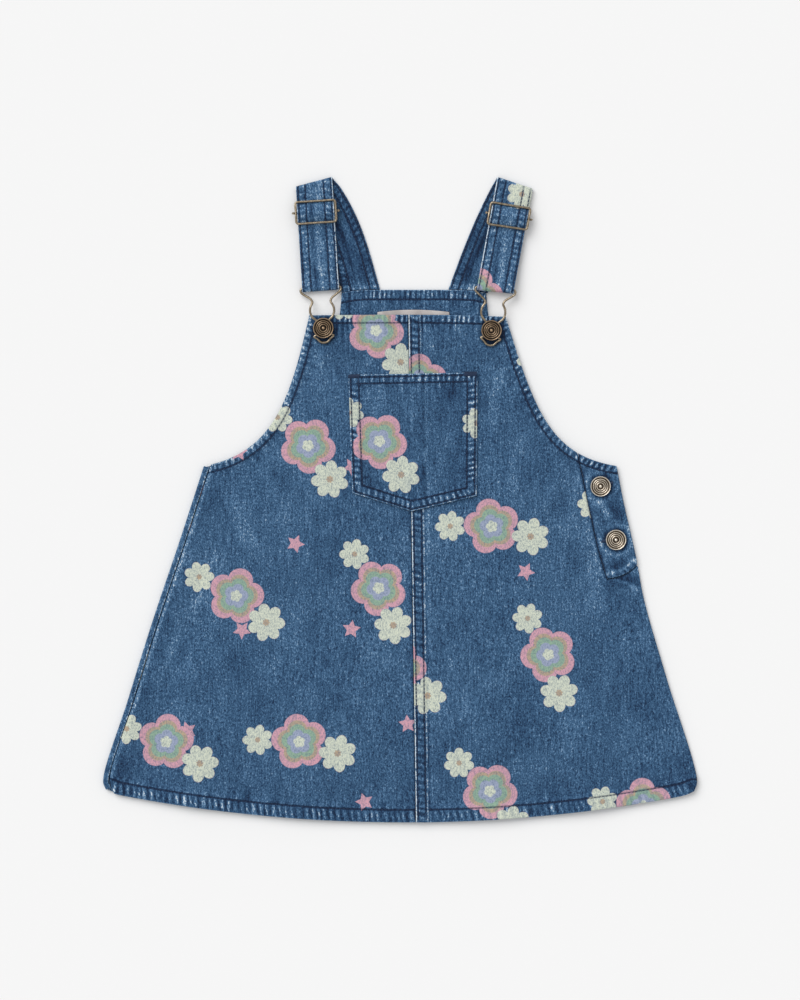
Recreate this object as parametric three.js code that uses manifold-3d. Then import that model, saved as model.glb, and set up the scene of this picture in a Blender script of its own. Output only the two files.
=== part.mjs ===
// A child's denim pinafore dress, laid flat on its back with both shoulder straps fastened.
// Sizes are in millimetres. +X is the wearer's left, +Y runs from the hem up to the straps, and +Z is up
// off the surface.
import * as THREE from "three";
import { mergeVertices } from "three/addons/utils/BufferGeometryUtils.js";
import Module from "manifold-3d";

const wasm = await Module();
wasm.setup();

// Cloth
const CLOTH = 1.2; // wall of one layer of denim
const TURNED = 2.2; // wall where an edge is turned in and stitched
const THIN = 1.0; // wall of the facing and the label
const GAP = 0.3; // air between pieces that are sewn together or lie on each other

// Bands of stitching and turned edge
const HEM_BAND = 10.5;
const ARMHOLE_BAND = 6.3;
const SEAM_BAND = 9.5; // the felled seam down the centre front
const SEAM_RISE = 0.8; // how far that seam stands above the panel
const POCKET_BAND = 9;

// The cut, seen from above
const HEM_LOW = -267.7; // the lowest point of the curved hem
const HEM_LOW_X = 3;
const HEM_SAG = 18.5; // how far the hem rises at HEM_HALF from its lowest point
const HEM_HALF = 213;
const CORNER_START = 232; // the hem's two corners are rounded from here out
const CORNER_LIFT = 2.2;
const CORNER_REACH = 12;
const CORNER_X = 243.9;
const CORNER_NARROWS = 1.25; // how far a panel's corner moves in for each millimetre that its side does
const HEM_ROWS = [0.009, 0.018, 0.0235, 0.03]; // closer rows along a side, where the hem's corner is rounded
const ROLL_ROWS = 1.55; // the same rows along the side alone
const BIB_TOP = 153.1;
const SEAM_X = 7.05; // the felled seam's left edge at the top of the bib
const SEAM_SLOPE = -0.0149; // and how far it drifts for each millimetre up
const UNDERARM_Y = 27.8;
const BIB_HALF = 81; // half the width of the bib's top edge, which drops a little to each corner
const BIB_DROP = { right: 0.4, left: 1.6 };
const ARMHOLE_START = 0.034; // the front right panel starts this far along its armhole, beside the roll
const BACK_INSET = 0.8; // the back lies this far inside the front's outline

// Side silhouette from the hem's corner up to the underarm: the wearer's right, then the left
const SIDE_RIGHT = [
  { x: -246.3, y: -233.6 },
  { x: -225.8, y: -166.4 },
  { x: -205, y: -100 },
  { x: -182.6, y: -33.6 },
  { x: -162.7, y: UNDERARM_Y },
];
const SIDE_LEFT = [
  { x: 246.3, y: -233.6 },
  { x: 221.6, y: -149.8 },
  { x: 202.5, y: -83.4 },
  { x: 196.2, y: -50 },
  { x: 185.1, y: -0.4 },
  { x: 179.7, y: UNDERARM_Y },
];
// Armholes as cubic curves: where each starts under the arm, its two handles and its end at the bib
const ARMHOLE = {
  frontRight: {
    start: { x: -162.7, y: 27.8 },
    low: { x: -105.8, y: 38.3 },
    high: { x: -91.4, y: 80.7 },
    end: { x: -75.3, y: 152.7 },
  },
  frontLeft: {
    start: { x: 179.7, y: 27.8 },
    low: { x: 124.3, y: 36.6 },
    high: { x: 111.7, y: 73.4 },
    end: { x: 87.8, y: 151.5 },
  },
  backRight: {
    start: { x: -161.5, y: 27 },
    low: { x: -100, y: 36 },
    high: { x: -50.5, y: 100 },
    end: { x: -48.6, y: 171.2 },
  },
  backLeft: {
    start: { x: 178.5, y: 27 },
    low: { x: 122, y: 34 },
    high: { x: 76, y: 90 },
    end: { x: 71.6, y: 171.2 },
  },
};
const BACK_TOP = 174; // the top edge of the back bib
const BACK_CORNER_DROP = 2.8;

// The back panel's right side rolls up and over on to the front
const ROLL_RADIUS = 1.6; // of the middle of the wall
const ROLL_REACH = 4.5; // from the silhouette to the seam on the front
const SIDE_LIFT = 1.7; // how much the front stands higher beside that roll

// Facing and label inside the back bib
const FACING_DEPTH = 48;
const FACING_INSET = 0.4;
const FACING_SPREAD = 4; // how much wider the facing is at its lower edge, on each side
const LABEL = { left: -18.7, right: 40.9, top: 157.3, depth: 22 };

// Patch pocket
const POCKET_FOLD = 0.7; // how much thicker its turned border is
const POCKET_STEP = 0.02; // the share of its width over which that border ends
const POCKET = {
  topRight: { x: -42.8, y: 103.3 },
  topLeft: { x: 64.3, y: 105.3 },
  bottomLeft: { x: 63.4, y: 3.1 },
  point: { x: 9.5, y: -9.8 },
  bottomRight: { x: -39.5, y: 5.5 },
};

// The side opening's placket, from its lower end up along its seam
const PLACKET_SEAM = [
  { x: 171.9, y: -65.4 },
  { x: 165.7, y: -45.9 },
  { x: 158, y: -12.5 },
  { x: 151, y: 21.7 },
  { x: 147.6, y: 38.5 },
];
const PLACKET_LOW = { x: 187.3, y: -64.4 }; // the handle of its lower edge's curve
const PLACKET_END = { x: 196.6, y: -54 };
const PLACKET_WALL = 2.4; // doubled denim
const PLACKET_SHARE = 0.23; // how much of the armhole's curve runs along the placket's top

// Fluting of the skirt above the hem, which eases away upwards
const FLUTES = [
  { x: -172, width: 26, height: 1.5, reach: 150 },
  { x: -84, width: 34, height: 1.1, reach: 200 },
  { x: 78, width: 30, height: 1.4, reach: 170 },
  { x: 158, width: 24, height: 1.6, reach: 130 },
];
// How far the front bellies up over the back: its middle, and its half width at the underarm, for each
// millimetre below that, and at the bib
const DOME = { height: 2, middle: 7, underarm: 165, widens: 0.32, bib: 95, fall: 2.4 };
// Where the front starts to climb over the facing and the label under it, and where it has climbed
const OVER_FACING = { rightFrom: -74, rightTo: -60, leftFrom: 82, leftTo: 92, lowFrom: 112, lowTo: 122 };
const OVER_LABEL = { away: 12, near: 2, lowFrom: 122, lowTo: 132 };

// Straps
const STRAP_HALF = 15.25;
const STRAP_WALL = 1.6; // doubled denim, pressed
const FOLD_RADIUS = 1.3; // of the middle of the wall, at the shoulder
const WIRE = 0.95; // radius of all the wire
const WRAP = WIRE + GAP + STRAP_WALL / 2; // radius of the middle of a wall round a wire
const STRAP_BASE_TURN = 22; // over this length the strap's cut end turns square to it
const BACK_HANDLES = { low: 0.3, high: 0.35 }; // of a strap's back part, as shares of its span
const FOLD_TURNS_FROM = 0.7; // share of the back part where its rows start to turn along the fold
const FOLD_NARROWS_FROM = 0.85; // and where they start to take the fold's width
const FOLD_SETTLES = 9; // over this length below the shoulder fold a strap turns square to its run
const WRAP_TURN = 215; // degrees that a strap's end turns round the slider's centre bar
const SLIDER = { half: 17.5, depth: 20, corner: 1.9, barEnd: 18.9 };
const BUTTON_RADIUS = 8.5;
const BUTTON_HEIGHT = 2.2;
const SHANK_RADIUS = 2.2;
const BUTTON_AT = 33.95; // from a buckle's top bar down to its button, as BUCKLE has it
// A button's disc, rolled rim, ring and dome: radius, and height as a share of BUTTON_HEIGHT
const BUTTON_FACE = [
  { radius: SHANK_RADIUS, height: 0 },
  { radius: BUTTON_RADIUS - 0.6, height: 0 },
  { radius: BUTTON_RADIUS, height: 0.35 },
  { radius: BUTTON_RADIUS - 0.15, height: 0.7 },
  { radius: BUTTON_RADIUS - 0.8, height: 0.95 },
  { radius: BUTTON_RADIUS - 1.7, height: 0.9 },
  { radius: BUTTON_RADIUS - 2.4, height: 0.55 },
  { radius: BUTTON_RADIUS - 3.6, height: 0.6 },
  { radius: BUTTON_RADIUS - 4.2, height: 0.85 },
  { radius: BUTTON_RADIUS - 4.9, height: 0.6 },
  { radius: 1.5, height: 0.6 },
  { radius: 0, height: 1 },
];

// bow is how far each handle of a strap's back part is pulled to the neck, and sliderAt is the way from
// the shoulder fold down to the slider's centre bar
const STRAPS = [
  {
    side: "right",
    base: { x: -32.4, y: 174.3 },
    fold: { x: -70.4, y: 261.8 },
    end: { x: -65.7, y: 172.8 },
    button: { x: -63.5, y: 141.9 },
    foldTilt: 15,
    lean: 26.6,
    baseLean: 18.4,
    bow: { low: 1, high: 9 },
    sliderAt: 23.4,
    low: 0.3,
    lowFrom: 78,
    lowTo: 87,
  },
  {
    side: "left",
    base: { x: 56.4, y: 174.3 },
    fold: { x: 94.5, y: 260.9 },
    end: { x: 78.7, y: 171.9 },
    button: { x: 75.7, y: 140 },
    foldTilt: -18.5,
    lean: -26.6,
    baseLean: -22.6,
    bow: { low: -1, high: -2.5 },
    sliderAt: 26.4,
    low: 2.8,
    lowFrom: 58,
    lowTo: 78,
  },
];

// One half of a buckle's wire: half width and distance below its top bar
const BUCKLE = [
  { half: 15.4, down: 0 },
  { half: 16.6, down: 1.1 },
  { half: 16.4, down: 3 },
  { half: 13.6, down: 5.5 },
  { half: 8.6, down: 9.4 },
  { half: 7.6, down: 12 },
  { half: 9.4, down: 15.7 },
  { half: 10, down: 19.9 },
  { half: 8.6, down: 23.9 },
  { half: 5, down: 27.7 },
  { half: 3.6, down: 31.5 },
  { half: 3.6, down: 35.8 },
  { half: 5.6, down: 38.8 },
  { half: 8, down: 40.6 },
  { half: 5.6, down: 42.4 },
  { half: 3, down: 45.2 },
];
const BUCKLE_BOTTOM = 46;
const BUCKLE_CLIMB = 17; // over this length a buckle rises from its strap to the bib

const SIDE_BUTTONS = [
  { name: "side_button_upper", x: 166.2, y: 10.8 },
  { name: "side_button_lower", x: 179, y: -33.5 },
];

// Colours
const DENIM = new THREE.MeshStandardMaterial({ color: 0x44698f, roughness: 0.85, metalness: 0 });
const DENIM_BACK = new THREE.MeshStandardMaterial({ color: 0x3d6188, roughness: 0.85, metalness: 0 });
const DENIM_BAND = new THREE.MeshStandardMaterial({ color: 0x3b5d84, roughness: 0.85, metalness: 0 });
const LABEL_CLOTH = new THREE.MeshStandardMaterial({ color: 0xcfa3a6, roughness: 0.6, metalness: 0 });
const BRASS = new THREE.MeshStandardMaterial({ color: 0x8a7560, roughness: 0.4, metalness: 0.9 });
const BRASS_BRIGHT = new THREE.MeshStandardMaterial({ color: 0xa8906c, roughness: 0.35, metalness: 0.9 });

const group = new THREE.Group();

function addMesh(name, geometry, material) {
  const mesh = new THREE.Mesh(geometry, material.clone());
  mesh.name = name;
  group.add(mesh);
}

// Small sums

function smooth(from, to, value) {
  return THREE.MathUtils.smoothstep(value, from, to);
}

function mix(a, b, t) {
  return a + (b - a) * t;
}

function radians(degrees) {
  return THREE.MathUtils.degToRad(degrees);
}

function distanceTo(points, x, y) {
  let best = Infinity;
  for (const p of points) {
    best = Math.min(best, Math.hypot(p.x - x, p.y - y));
  }
  return best;
}

function vectors(table) {
  return table.map((row) => new THREE.Vector2(row.x, row.y));
}

// A smooth line through the rows of a table, in the plan.
function through(table) {
  const points = table.map((row) => new THREE.Vector3(row.x, row.y, 0));
  return new THREE.CatmullRomCurve3(points, false, "centripetal");
}

function armhole(name) {
  const { start, low, high, end } = ARMHOLE[name];
  return new THREE.CubicBezierCurve(...vectors([start, low, high, end]));
}

// Closed solids

// A wall between two grids of points, each with the same rows and columns.
function wall(upper, lower) {
  const rows = upper.length;
  const columns = upper[0].length;
  const positions = [];
  const index = [];
  for (const grid of [upper, lower]) {
    for (const row of grid) {
      for (const p of row) positions.push(p.x, p.y, p.z);
    }
  }
  const top = (i, j) => i * columns + j;
  const under = (i, j) => rows * columns + top(i, j);
  const quad = (a, b, c, d) => index.push(a, b, c, a, c, d);
  for (let i = 0; i < rows - 1; i++) {
    for (let j = 0; j < columns - 1; j++) {
      quad(top(i, j), top(i, j + 1), top(i + 1, j + 1), top(i + 1, j));
      quad(under(i, j), under(i + 1, j), under(i + 1, j + 1), under(i, j + 1));
    }
  }
  for (let j = 0; j < columns - 1; j++) {
    quad(top(0, j), under(0, j), under(0, j + 1), top(0, j + 1));
    quad(top(rows - 1, j + 1), under(rows - 1, j + 1), under(rows - 1, j), top(rows - 1, j));
  }
  for (let i = 0; i < rows - 1; i++) {
    quad(top(i + 1, 0), under(i + 1, 0), under(i, 0), top(i, 0));
    quad(top(i, columns - 1), under(i, columns - 1), under(i + 1, columns - 1), top(i + 1, columns - 1));
  }
  const geometry = new THREE.BufferGeometry();
  geometry.setAttribute("position", new THREE.Float32BufferAttribute(positions, 3));
  geometry.setIndex(index);
  return geometry;
}

// A wall laid flat: a map from (across, along) to the plan, with heights for its top and its underside.
function flatWall(map, across, along, topAt, underAt) {
  const at = (height) => along.map((v) => across.map((u) => {
    const p = map(u, v);
    return new THREE.Vector3(p.x, p.y, height(p.x, p.y, u, v));
  }));
  return wall(at(topAt), at(underAt));
}

// A wall of even thickness about a grid of points in its middle.
function evenWall(middle, thickness) {
  const rows = middle.length;
  const columns = middle[0].length;
  const offset = (i, j, side) => {
    const alongA = middle[Math.max(i - 1, 0)][j];
    const alongB = middle[Math.min(i + 1, rows - 1)][j];
    const acrossA = middle[i][Math.max(j - 1, 0)];
    const acrossB = middle[i][Math.min(j + 1, columns - 1)];
    const normal = acrossB.clone().sub(acrossA).cross(alongB.clone().sub(alongA)).normalize();
    return middle[i][j].clone().addScaledVector(normal, (side * thickness) / 2);
  };
  const grid = (side) => middle.map((row, i) => row.map((p, j) => offset(i, j, side)));
  return wall(grid(1), grid(-1));
}

// A plan map whose four edges are curves, each a function of 0 to 1.
function patch(bottom, top, left, right) {
  const corners = [bottom(0), bottom(1), top(0), top(1)];
  return (u, v) => {
    const b = bottom(u);
    const t = top(u);
    const l = left(v);
    const r = right(v);
    const along = (k) => mix(b[k], t[k], v) + mix(l[k], r[k], u);
    const shared = (k) => mix(mix(corners[0][k], corners[1][k], u), mix(corners[2][k], corners[3][k], u), v);
    return new THREE.Vector2(along("x") - shared("x"), along("y") - shared("y"));
  };
}

// Even places from 0 to 1, with closer ones in the margin at both ends.
function spaced(count, ends = []) {
  const margin = Math.max(0, ...ends);
  const even = Array.from({ length: count - 1 }, (_, i) => (i + 1) / count);
  const inner = even.filter((v) => v > margin && v < 1 - margin);
  return [0, ...ends, ...inner, ...ends.map((e) => 1 - e).reverse(), 1];
}

function solid(geometry) {
  const bare = geometry.clone();
  bare.deleteAttribute("normal");
  bare.deleteAttribute("uv");
  const merged = mergeVertices(bare, 1e-4);
  return new wasm.Manifold(new wasm.Mesh({
    numProp: 3,
    vertProperties: merged.attributes.position.array,
    triVerts: new Uint32Array(merged.index.array),
  }));
}

function geometryOf(manifold) {
  const mesh = manifold.getMesh();
  const geometry = new THREE.BufferGeometry();
  const positions = new Float32Array(mesh.numVert * 3);
  for (let i = 0; i < mesh.numVert; i++) {
    positions.set(mesh.vertProperties.subarray(i * mesh.numProp, i * mesh.numProp + 3), i * 3);
  }
  geometry.setAttribute("position", new THREE.BufferAttribute(positions, 3));
  geometry.setIndex(new THREE.BufferAttribute(new Uint32Array(mesh.triVerts), 1));
  return geometry;
}

function prism(points, low, high) {
  const settings = { depth: high - low, bevelEnabled: false };
  return new THREE.ExtrudeGeometry(new THREE.Shape(points), settings).translate(0, 0, low);
}

// The outline

function hemLine(x) {
  const corner = Math.max(0, Math.abs(x) - CORNER_START) / CORNER_REACH;
  return HEM_LOW + HEM_SAG * ((x - HEM_LOW_X) / HEM_HALF) ** 2 + CORNER_LIFT * corner ** 2;
}

function seamLine(y) {
  return SEAM_X + SEAM_SLOPE * (y - BIB_TOP);
}

// One path from the hem's corner up the side, then round the armhole.
function outerPath(sideTable, armholeCurve, inset, armholeStart = 0, hemRise = 0) {
  const direction = Math.sign(sideTable[0].x);
  const cornerX = direction * (CORNER_X - CORNER_NARROWS * Math.abs(inset));
  const corner = new THREE.Vector2(cornerX, hemLine(cornerX) + hemRise);
  const side = sideTable.slice(0, -1).map((p) => ({ x: p.x + inset, y: p.y }));
  const sideCurve = through([corner, ...side, armholeCurve.getPoint(armholeStart)]);
  const split = sideCurve.getLength() / (sideCurve.getLength() + armholeCurve.getLength());
  const path = (v) => {
    if (v <= split) return sideCurve.getPointAt(v / split);
    const t = (v - split) / (1 - split);
    const length = mix(armholeStart, 1, t);
    return armholeCurve.getPointAt(Math.min(1, length));
  };
  return { path, split, corner };
}

const curveFrontRight = armhole("frontRight");
const curveFrontLeft = armhole("frontLeft");
const curveBackRight = armhole("backRight");
const curveBackLeft = armhole("backLeft");
const armholePoints = [...curveFrontRight.getSpacedPoints(60), ...curveFrontLeft.getSpacedPoints(60)];
const sideRightCurve = through([{ x: -CORNER_X, y: hemLine(-CORNER_X) }, ...SIDE_RIGHT]);

// Heights

function hemBand(x, y, spread) {
  return 1 - smooth(HEM_BAND + spread, HEM_BAND + spread + 2, y - hemLine(x));
}

function backTop(x, y) {
  return CLOTH + (TURNED - CLOTH) * hemBand(x, y, 0);
}

function belly(x, y) {
  const below = DOME.underarm + (UNDERARM_Y - y) * DOME.widens;
  const above = mix(DOME.underarm, DOME.bib, smooth(UNDERARM_Y, 120, y));
  const half = y < UNDERARM_Y ? below : above;
  const across = Math.max(0, 1 - (Math.abs(x - DOME.middle) / half) ** DOME.fall);
  const along = smooth(0, 70, y - hemLine(x)) * (1 - smooth(60, 150, y));
  return DOME.height * across * along;
}

function fluting(x, y) {
  let height = 0;
  for (const flute of FLUTES) {
    const centre = flute.x * (1 - (y - HEM_LOW) / 1400);
    const fade = 1 - smooth(20, flute.reach, y - hemLine(x));
    height += flute.height * Math.exp(-(((x - centre) / flute.width) ** 2)) * fade;
  }
  return height;
}

function overFacing(x, y) {
  const rightOf = smooth(OVER_FACING.rightFrom, OVER_FACING.rightTo, x);
  const leftOf = 1 - smooth(OVER_FACING.leftFrom, OVER_FACING.leftTo, x);
  const facing = rightOf * leftOf * smooth(OVER_FACING.lowFrom, OVER_FACING.lowTo, y);
  const labelRight = smooth(LABEL.left - OVER_LABEL.away, LABEL.left - OVER_LABEL.near, x);
  const labelLeft = 1 - smooth(LABEL.right + OVER_LABEL.near, LABEL.right + OVER_LABEL.away, x);
  const label = labelRight * labelLeft * smooth(OVER_LABEL.lowFrom, OVER_LABEL.lowTo, y);
  return (THIN + GAP) * (facing + label);
}

function turnedEdge(x, y) {
  const arm = 1 - smooth(ARMHOLE_BAND, ARMHOLE_BAND + 2.5, distanceTo(armholePoints, x, y));
  const bib = smooth(BIB_TOP - ARMHOLE_BAND - 3, BIB_TOP - ARMHOLE_BAND, y);
  return Math.max(arm, bib);
}

function besideRoll(x, y) {
  const side = SIDE_RIGHT[4].x + (y - UNDERARM_Y) * DOME.widens;
  return (1 - smooth(6, 34, x - side)) * (1 - smooth(14, 28, y));
}

function frontTop(x, y) {
  const hem = hemBand(x, y, 1.5);
  const rolled = SIDE_LIFT * besideRoll(x, y);
  const turned = (TURNED - CLOTH) * turnedEdge(x, y);
  const base = CLOTH + GAP + CLOTH;
  const raised = Math.max(2 * (TURNED - CLOTH) * hem, rolled, turned);
  return base + raised + overFacing(x, y) + belly(x, y) + fluting(x, y);
}

function frontUnder(x, y) {
  const thick = Math.max(hemBand(x, y, 1.5), turnedEdge(x, y));
  return frontTop(x, y) - CLOTH - (TURNED - CLOTH) * thick;
}

// Panels

function bibEdge(x) {
  const drop = x < SEAM_X ? BIB_DROP.right : BIB_DROP.left;
  return BIB_TOP - (Math.abs(x - SEAM_X) / BIB_HALF) ** 2 * drop;
}

// A line of the outline's own shape between two points that lie on it or close to it.
function edgeAlong(from, to, line) {
  return (u) => {
    const x = mix(from.x, to.x, u);
    return new THREE.Vector2(x, line(x) + mix(from.y - line(from.x), to.y - line(to.x), u));
  };
}

function rowsWithSplit(count, split) {
  const rows = spaced(count, HEM_ROWS);
  const nearest = rows.reduce((a, b) => (Math.abs(b - split) < Math.abs(a - split) ? b : a));
  rows[rows.indexOf(nearest)] = split;
  return rows;
}

function placketLower() {
  const [from, low, to] = vectors([PLACKET_SEAM[0], PLACKET_LOW, PLACKET_END]);
  return new THREE.QuadraticBezierCurve(from, low, to);
}

function frontRight() {
  const outer = outerPath(SIDE_RIGHT, curveFrontRight, ROLL_REACH + 3.5 * GAP, ARMHOLE_START);
  const seamFoot = hemLine(SEAM_X + 6);
  const inner = (v) => {
    const y = mix(seamFoot, BIB_TOP, v);
    return new THREE.Vector2(seamLine(y) - GAP, y);
  };
  const bottom = edgeAlong(outer.path(0), inner(0), hemLine);
  const top = edgeAlong(outer.path(1), inner(1), bibEdge);
  const map = patch(bottom, top, outer.path, inner);
  return flatWall(map, spaced(11, [0.03]), rowsWithSplit(22, outer.split), frontTop, frontUnder);
}

function frontLeft() {
  const outer = outerPath(SIDE_LEFT, curveFrontLeft, 0);
  const seamFoot = hemLine(SEAM_X + 6);
  const bandEdge = SEAM_BAND + 0.5;
  const inner = (v) => {
    const y = mix(seamFoot, BIB_TOP, v);
    return new THREE.Vector2(seamLine(y) + bandEdge, y);
  };
  const bottom = edgeAlong(inner(0), outer.path(0), hemLine);
  const bib = edgeAlong(inner(1), outer.path(1), bibEdge);
  const sheet = patch(bottom, bib, inner, outer.path);
  // Negative places across are the columns of the felled seam, in millimetres from the panel beside it.
  const map = (u, v) => {
    if (u >= 0) return sheet(u, v);
    const p = sheet(0, v);
    return new THREE.Vector2(p.x + u, p.y);
  };
  const columns = [-bandEdge, -bandEdge / 2, -0.5, ...spaced(11, [0.03])];
  const top = (x, y, u) => frontTop(x, y) + (u < 0 ? SEAM_RISE : 0);
  const panel = flatWall(map, columns, rowsWithSplit(22, outer.split), top, frontUnder);
  const seam = through(PLACKET_SEAM).getPoints(14);
  const opening = [
    new THREE.Vector2(PLACKET_SEAM[4].x - GAP - 1, PLACKET_SEAM[4].y + 6),
    ...seam.reverse().map((p) => new THREE.Vector2(p.x - GAP, p.y)),
    ...placketLower().getPoints(8).map((p) => new THREE.Vector2(p.x, p.y - 3 * GAP)),
    new THREE.Vector2(PLACKET_END.x + 4, PLACKET_END.y + 1),
    new THREE.Vector2(PLACKET_END.x + 20, PLACKET_SEAM[4].y + 6),
  ];
  return geometryOf(solid(panel).subtract(solid(prism(opening, -5, 20))));
}

function backBibEdge(x) {
  const middle = (ARMHOLE.backRight.end.x + ARMHOLE.backLeft.end.x) / 2;
  const half = (ARMHOLE.backLeft.end.x - ARMHOLE.backRight.end.x) / 2;
  return BACK_TOP - BACK_CORNER_DROP * (Math.abs(x - middle) / half) ** 6;
}

function back() {
  const right = outerPath(SIDE_RIGHT, curveBackRight, ROLL_RADIUS + 0.1, 0, BACK_INSET);
  const left = outerPath(SIDE_LEFT, curveBackLeft, -BACK_INSET, 0, BACK_INSET);
  const bottom = (u) => {
    const x = mix(right.corner.x, left.corner.x, u);
    return new THREE.Vector2(x, hemLine(x) + BACK_INSET);
  };
  const top = (u) => {
    const x = mix(curveBackRight.getPoint(1).x, curveBackLeft.getPoint(1).x, u);
    return new THREE.Vector2(x, backBibEdge(x));
  };
  const map = patch(bottom, top, right.path, left.path);
  const rows = rowsWithSplit(18, right.split);
  const flat = flatWall(map, spaced(14), rows, backTop, () => 0);
  return geometryOf(solid(flat).add(solid(sideRoll())));
}

// The strip of the back panel that turns round the wearer's right side and ends on the front.
function sideRoll() {
  const turns = [0, 30, 60, 90, 120, 150, 180];
  const centre = ROLL_RADIUS + CLOTH / 2;
  const profile = turns.map((angle) => ({
    inset: centre - ROLL_RADIUS * Math.sin(radians(angle)),
    z: centre - ROLL_RADIUS * Math.cos(radians(angle)),
  }));
  profile.push({ inset: ROLL_REACH, z: centre + ROLL_RADIUS });
  const places = [0, ...HEM_ROWS.map((v) => v * ROLL_ROWS), ...spaced(15).slice(1)];
  const middle = [];
  for (const t of places) {
    const p = sideRightCurve.getPointAt(t);
    const tangent = sideRightCurve.getTangentAt(t);
    const inward = new THREE.Vector2(tangent.y, -tangent.x);
    const place = (q) => new THREE.Vector3(p.x + inward.x * q.inset, p.y + inward.y * q.inset, q.z);
    middle.push(profile.map(place));
  }
  return turnedOut(evenWall(middle, CLOTH));
}

// The same surface with its faces outward, whichever way its grid ran.
function turnedOut(geometry) {
  const made = solid(geometry);
  if (made.volume() > 0) return geometry;
  const flipped = geometry.clone();
  const index = Array.from(geometry.index.array);
  for (let i = 0; i < index.length; i += 3) [index[i + 1], index[i + 2]] = [index[i + 2], index[i + 1]];
  flipped.setIndex(index);
  return flipped;
}

function facing() {
  const low = BACK_TOP - FACING_DEPTH;
  const map = (u, v) => {
    const spread = FACING_SPREAD * (1 - v) - FACING_INSET;
    const x = mix(ARMHOLE.backRight.end.x - spread, ARMHOLE.backLeft.end.x + spread, u);
    return new THREE.Vector2(x, mix(low, backBibEdge(x) - FACING_INSET, v));
  };
  return flatWall(map, spaced(8), spaced(3), () => CLOTH + GAP + THIN, () => CLOTH + GAP);
}

function label() {
  const under = CLOTH + 2 * GAP + THIN;
  const map = (u, v) => new THREE.Vector2(mix(LABEL.left, LABEL.right, u), LABEL.top - LABEL.depth * (1 - v));
  return flatWall(map, spaced(3), spaced(2), () => under + THIN, () => under);
}

function pocketUnder(x, y) {
  const seam = seamLine(y);
  const rise = smooth(seam - 13, seam - 2, x) * (1 - smooth(seam + SEAM_BAND + 3, seam + SEAM_BAND + 14, x));
  return frontTop(x, y) + SEAM_RISE * rise + GAP;
}

function pocket() {
  const bottom = (u) => {
    const middle = (POCKET.point.x - POCKET.bottomRight.x) / (POCKET.bottomLeft.x - POCKET.bottomRight.x);
    const from = u < middle ? POCKET.bottomRight : POCKET.point;
    const to = u < middle ? POCKET.point : POCKET.bottomLeft;
    const t = u < middle ? u / middle : (u - middle) / (1 - middle);
    return new THREE.Vector2(mix(from.x, to.x, t), mix(from.y, to.y, t));
  };
  const line = (from, to) => (t) => new THREE.Vector2(mix(from.x, to.x, t), mix(from.y, to.y, t));
  const top = line(POCKET.topRight, POCKET.topLeft);
  const right = line(POCKET.bottomRight, POCKET.topRight);
  const left = line(POCKET.bottomLeft, POCKET.topLeft);
  const map = patch(bottom, top, right, left);
  const wide = POCKET.topLeft.x - POCKET.topRight.x;
  const border = POCKET_BAND / wide;
  const places = spaced(9, [border, border + POCKET_STEP]);
  const folded = (u, v) => {
    const edge = Math.min(u, 1 - u, v, 1 - v);
    return 1 - smooth(border, border + POCKET_STEP, edge);
  };
  const pocketTop = (x, y, u, v) => pocketUnder(x, y) + CLOTH + POCKET_FOLD * folded(u, v);
  return flatWall(map, places, places, pocketTop, pocketUnder);
}

function placketUnder(x, y) {
  return CLOTH + GAP + belly(x, y);
}

function sidePlacket() {
  const seam = through(PLACKET_SEAM);
  const outer = through([PLACKET_END, ...SIDE_LEFT.slice(3)]);
  const lower = placketLower();
  const top = (u) => curveFrontLeft.getPoint(PLACKET_SHARE * (1 - u));
  const map = patch((u) => lower.getPoint(u), top, (v) => seam.getPoint(v), (v) => outer.getPoint(v));
  const placketTop = (x, y) => placketUnder(x, y) + PLACKET_WALL;
  const plain = flatWall(map, spaced(6), spaced(14), placketTop, placketUnder);
  let cut = solid(plain);
  for (const button of SIDE_BUTTONS) {
    const hole = new THREE.CylinderGeometry(SHANK_RADIUS + 2 * GAP, SHANK_RADIUS + 2 * GAP, 20, 16);
    hole.rotateX(Math.PI / 2).translate(button.x, button.y, 0);
    cut = cut.subtract(solid(hole));
  }
  return geometryOf(cut);
}

// Straps

const SLIDER_BAR_Z = STRAP_WALL + GAP + STRAP_WALL + GAP + WIRE;
const SLIDER_FRAME_Z = SLIDER_BAR_Z + 2 * WIRE + GAP;
const SLIDER_TILT = 0.85; // how much lower the frame's upper bar sits than its middle
const BAR_RISE = SLIDER.depth / 2 - WIRE;

// The plan of one strap: the fold at the shoulder, and the frame of its front part.
function strapPlan(strap) {
  const lean = radians(strap.lean);
  const foldAngle = radians(strap.foldTilt);
  const up = new THREE.Vector2(-Math.sin(lean), Math.cos(lean));
  const foldAlong = new THREE.Vector2(Math.cos(foldAngle), Math.sin(foldAngle));
  const foldOut = new THREE.Vector2(-foldAlong.y, foldAlong.x);
  const slant = lean - foldAngle;
  const drift = (Math.PI * FOLD_RADIUS * up.dot(foldAlong)) / up.dot(foldOut);
  const start = new THREE.Vector2(strap.fold.x + foldAlong.x * drift, strap.fold.y + foldAlong.y * drift);
  const down = new THREE.Vector2(strap.end.x - start.x, strap.end.y - start.y);
  const length = down.length() - WRAP - STRAP_WALL / 2;
  down.normalize();
  const across = new THREE.Vector2(-down.y, down.x);
  const bar = start.clone().addScaledVector(down, length);
  const toButton = new THREE.Vector2(strap.button.x - bar.x, strap.button.y - bar.y);
  const reach = toButton.length();
  const buckleDown = toButton.normalize();
  const twist = down.cross(buckleDown) > 0 ? down.angleTo(buckleDown) : -down.angleTo(buckleDown);
  const barZ = strap.low + STRAP_WALL + GAP + WIRE;
  const foldTurn = foldAngle - Math.atan2(across.y, across.x);
  return {
    up, foldAlong, foldOut, slant, start, down, across, length, twist, bar, reach, buckleDown, barZ, foldTurn,
  };
}

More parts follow.
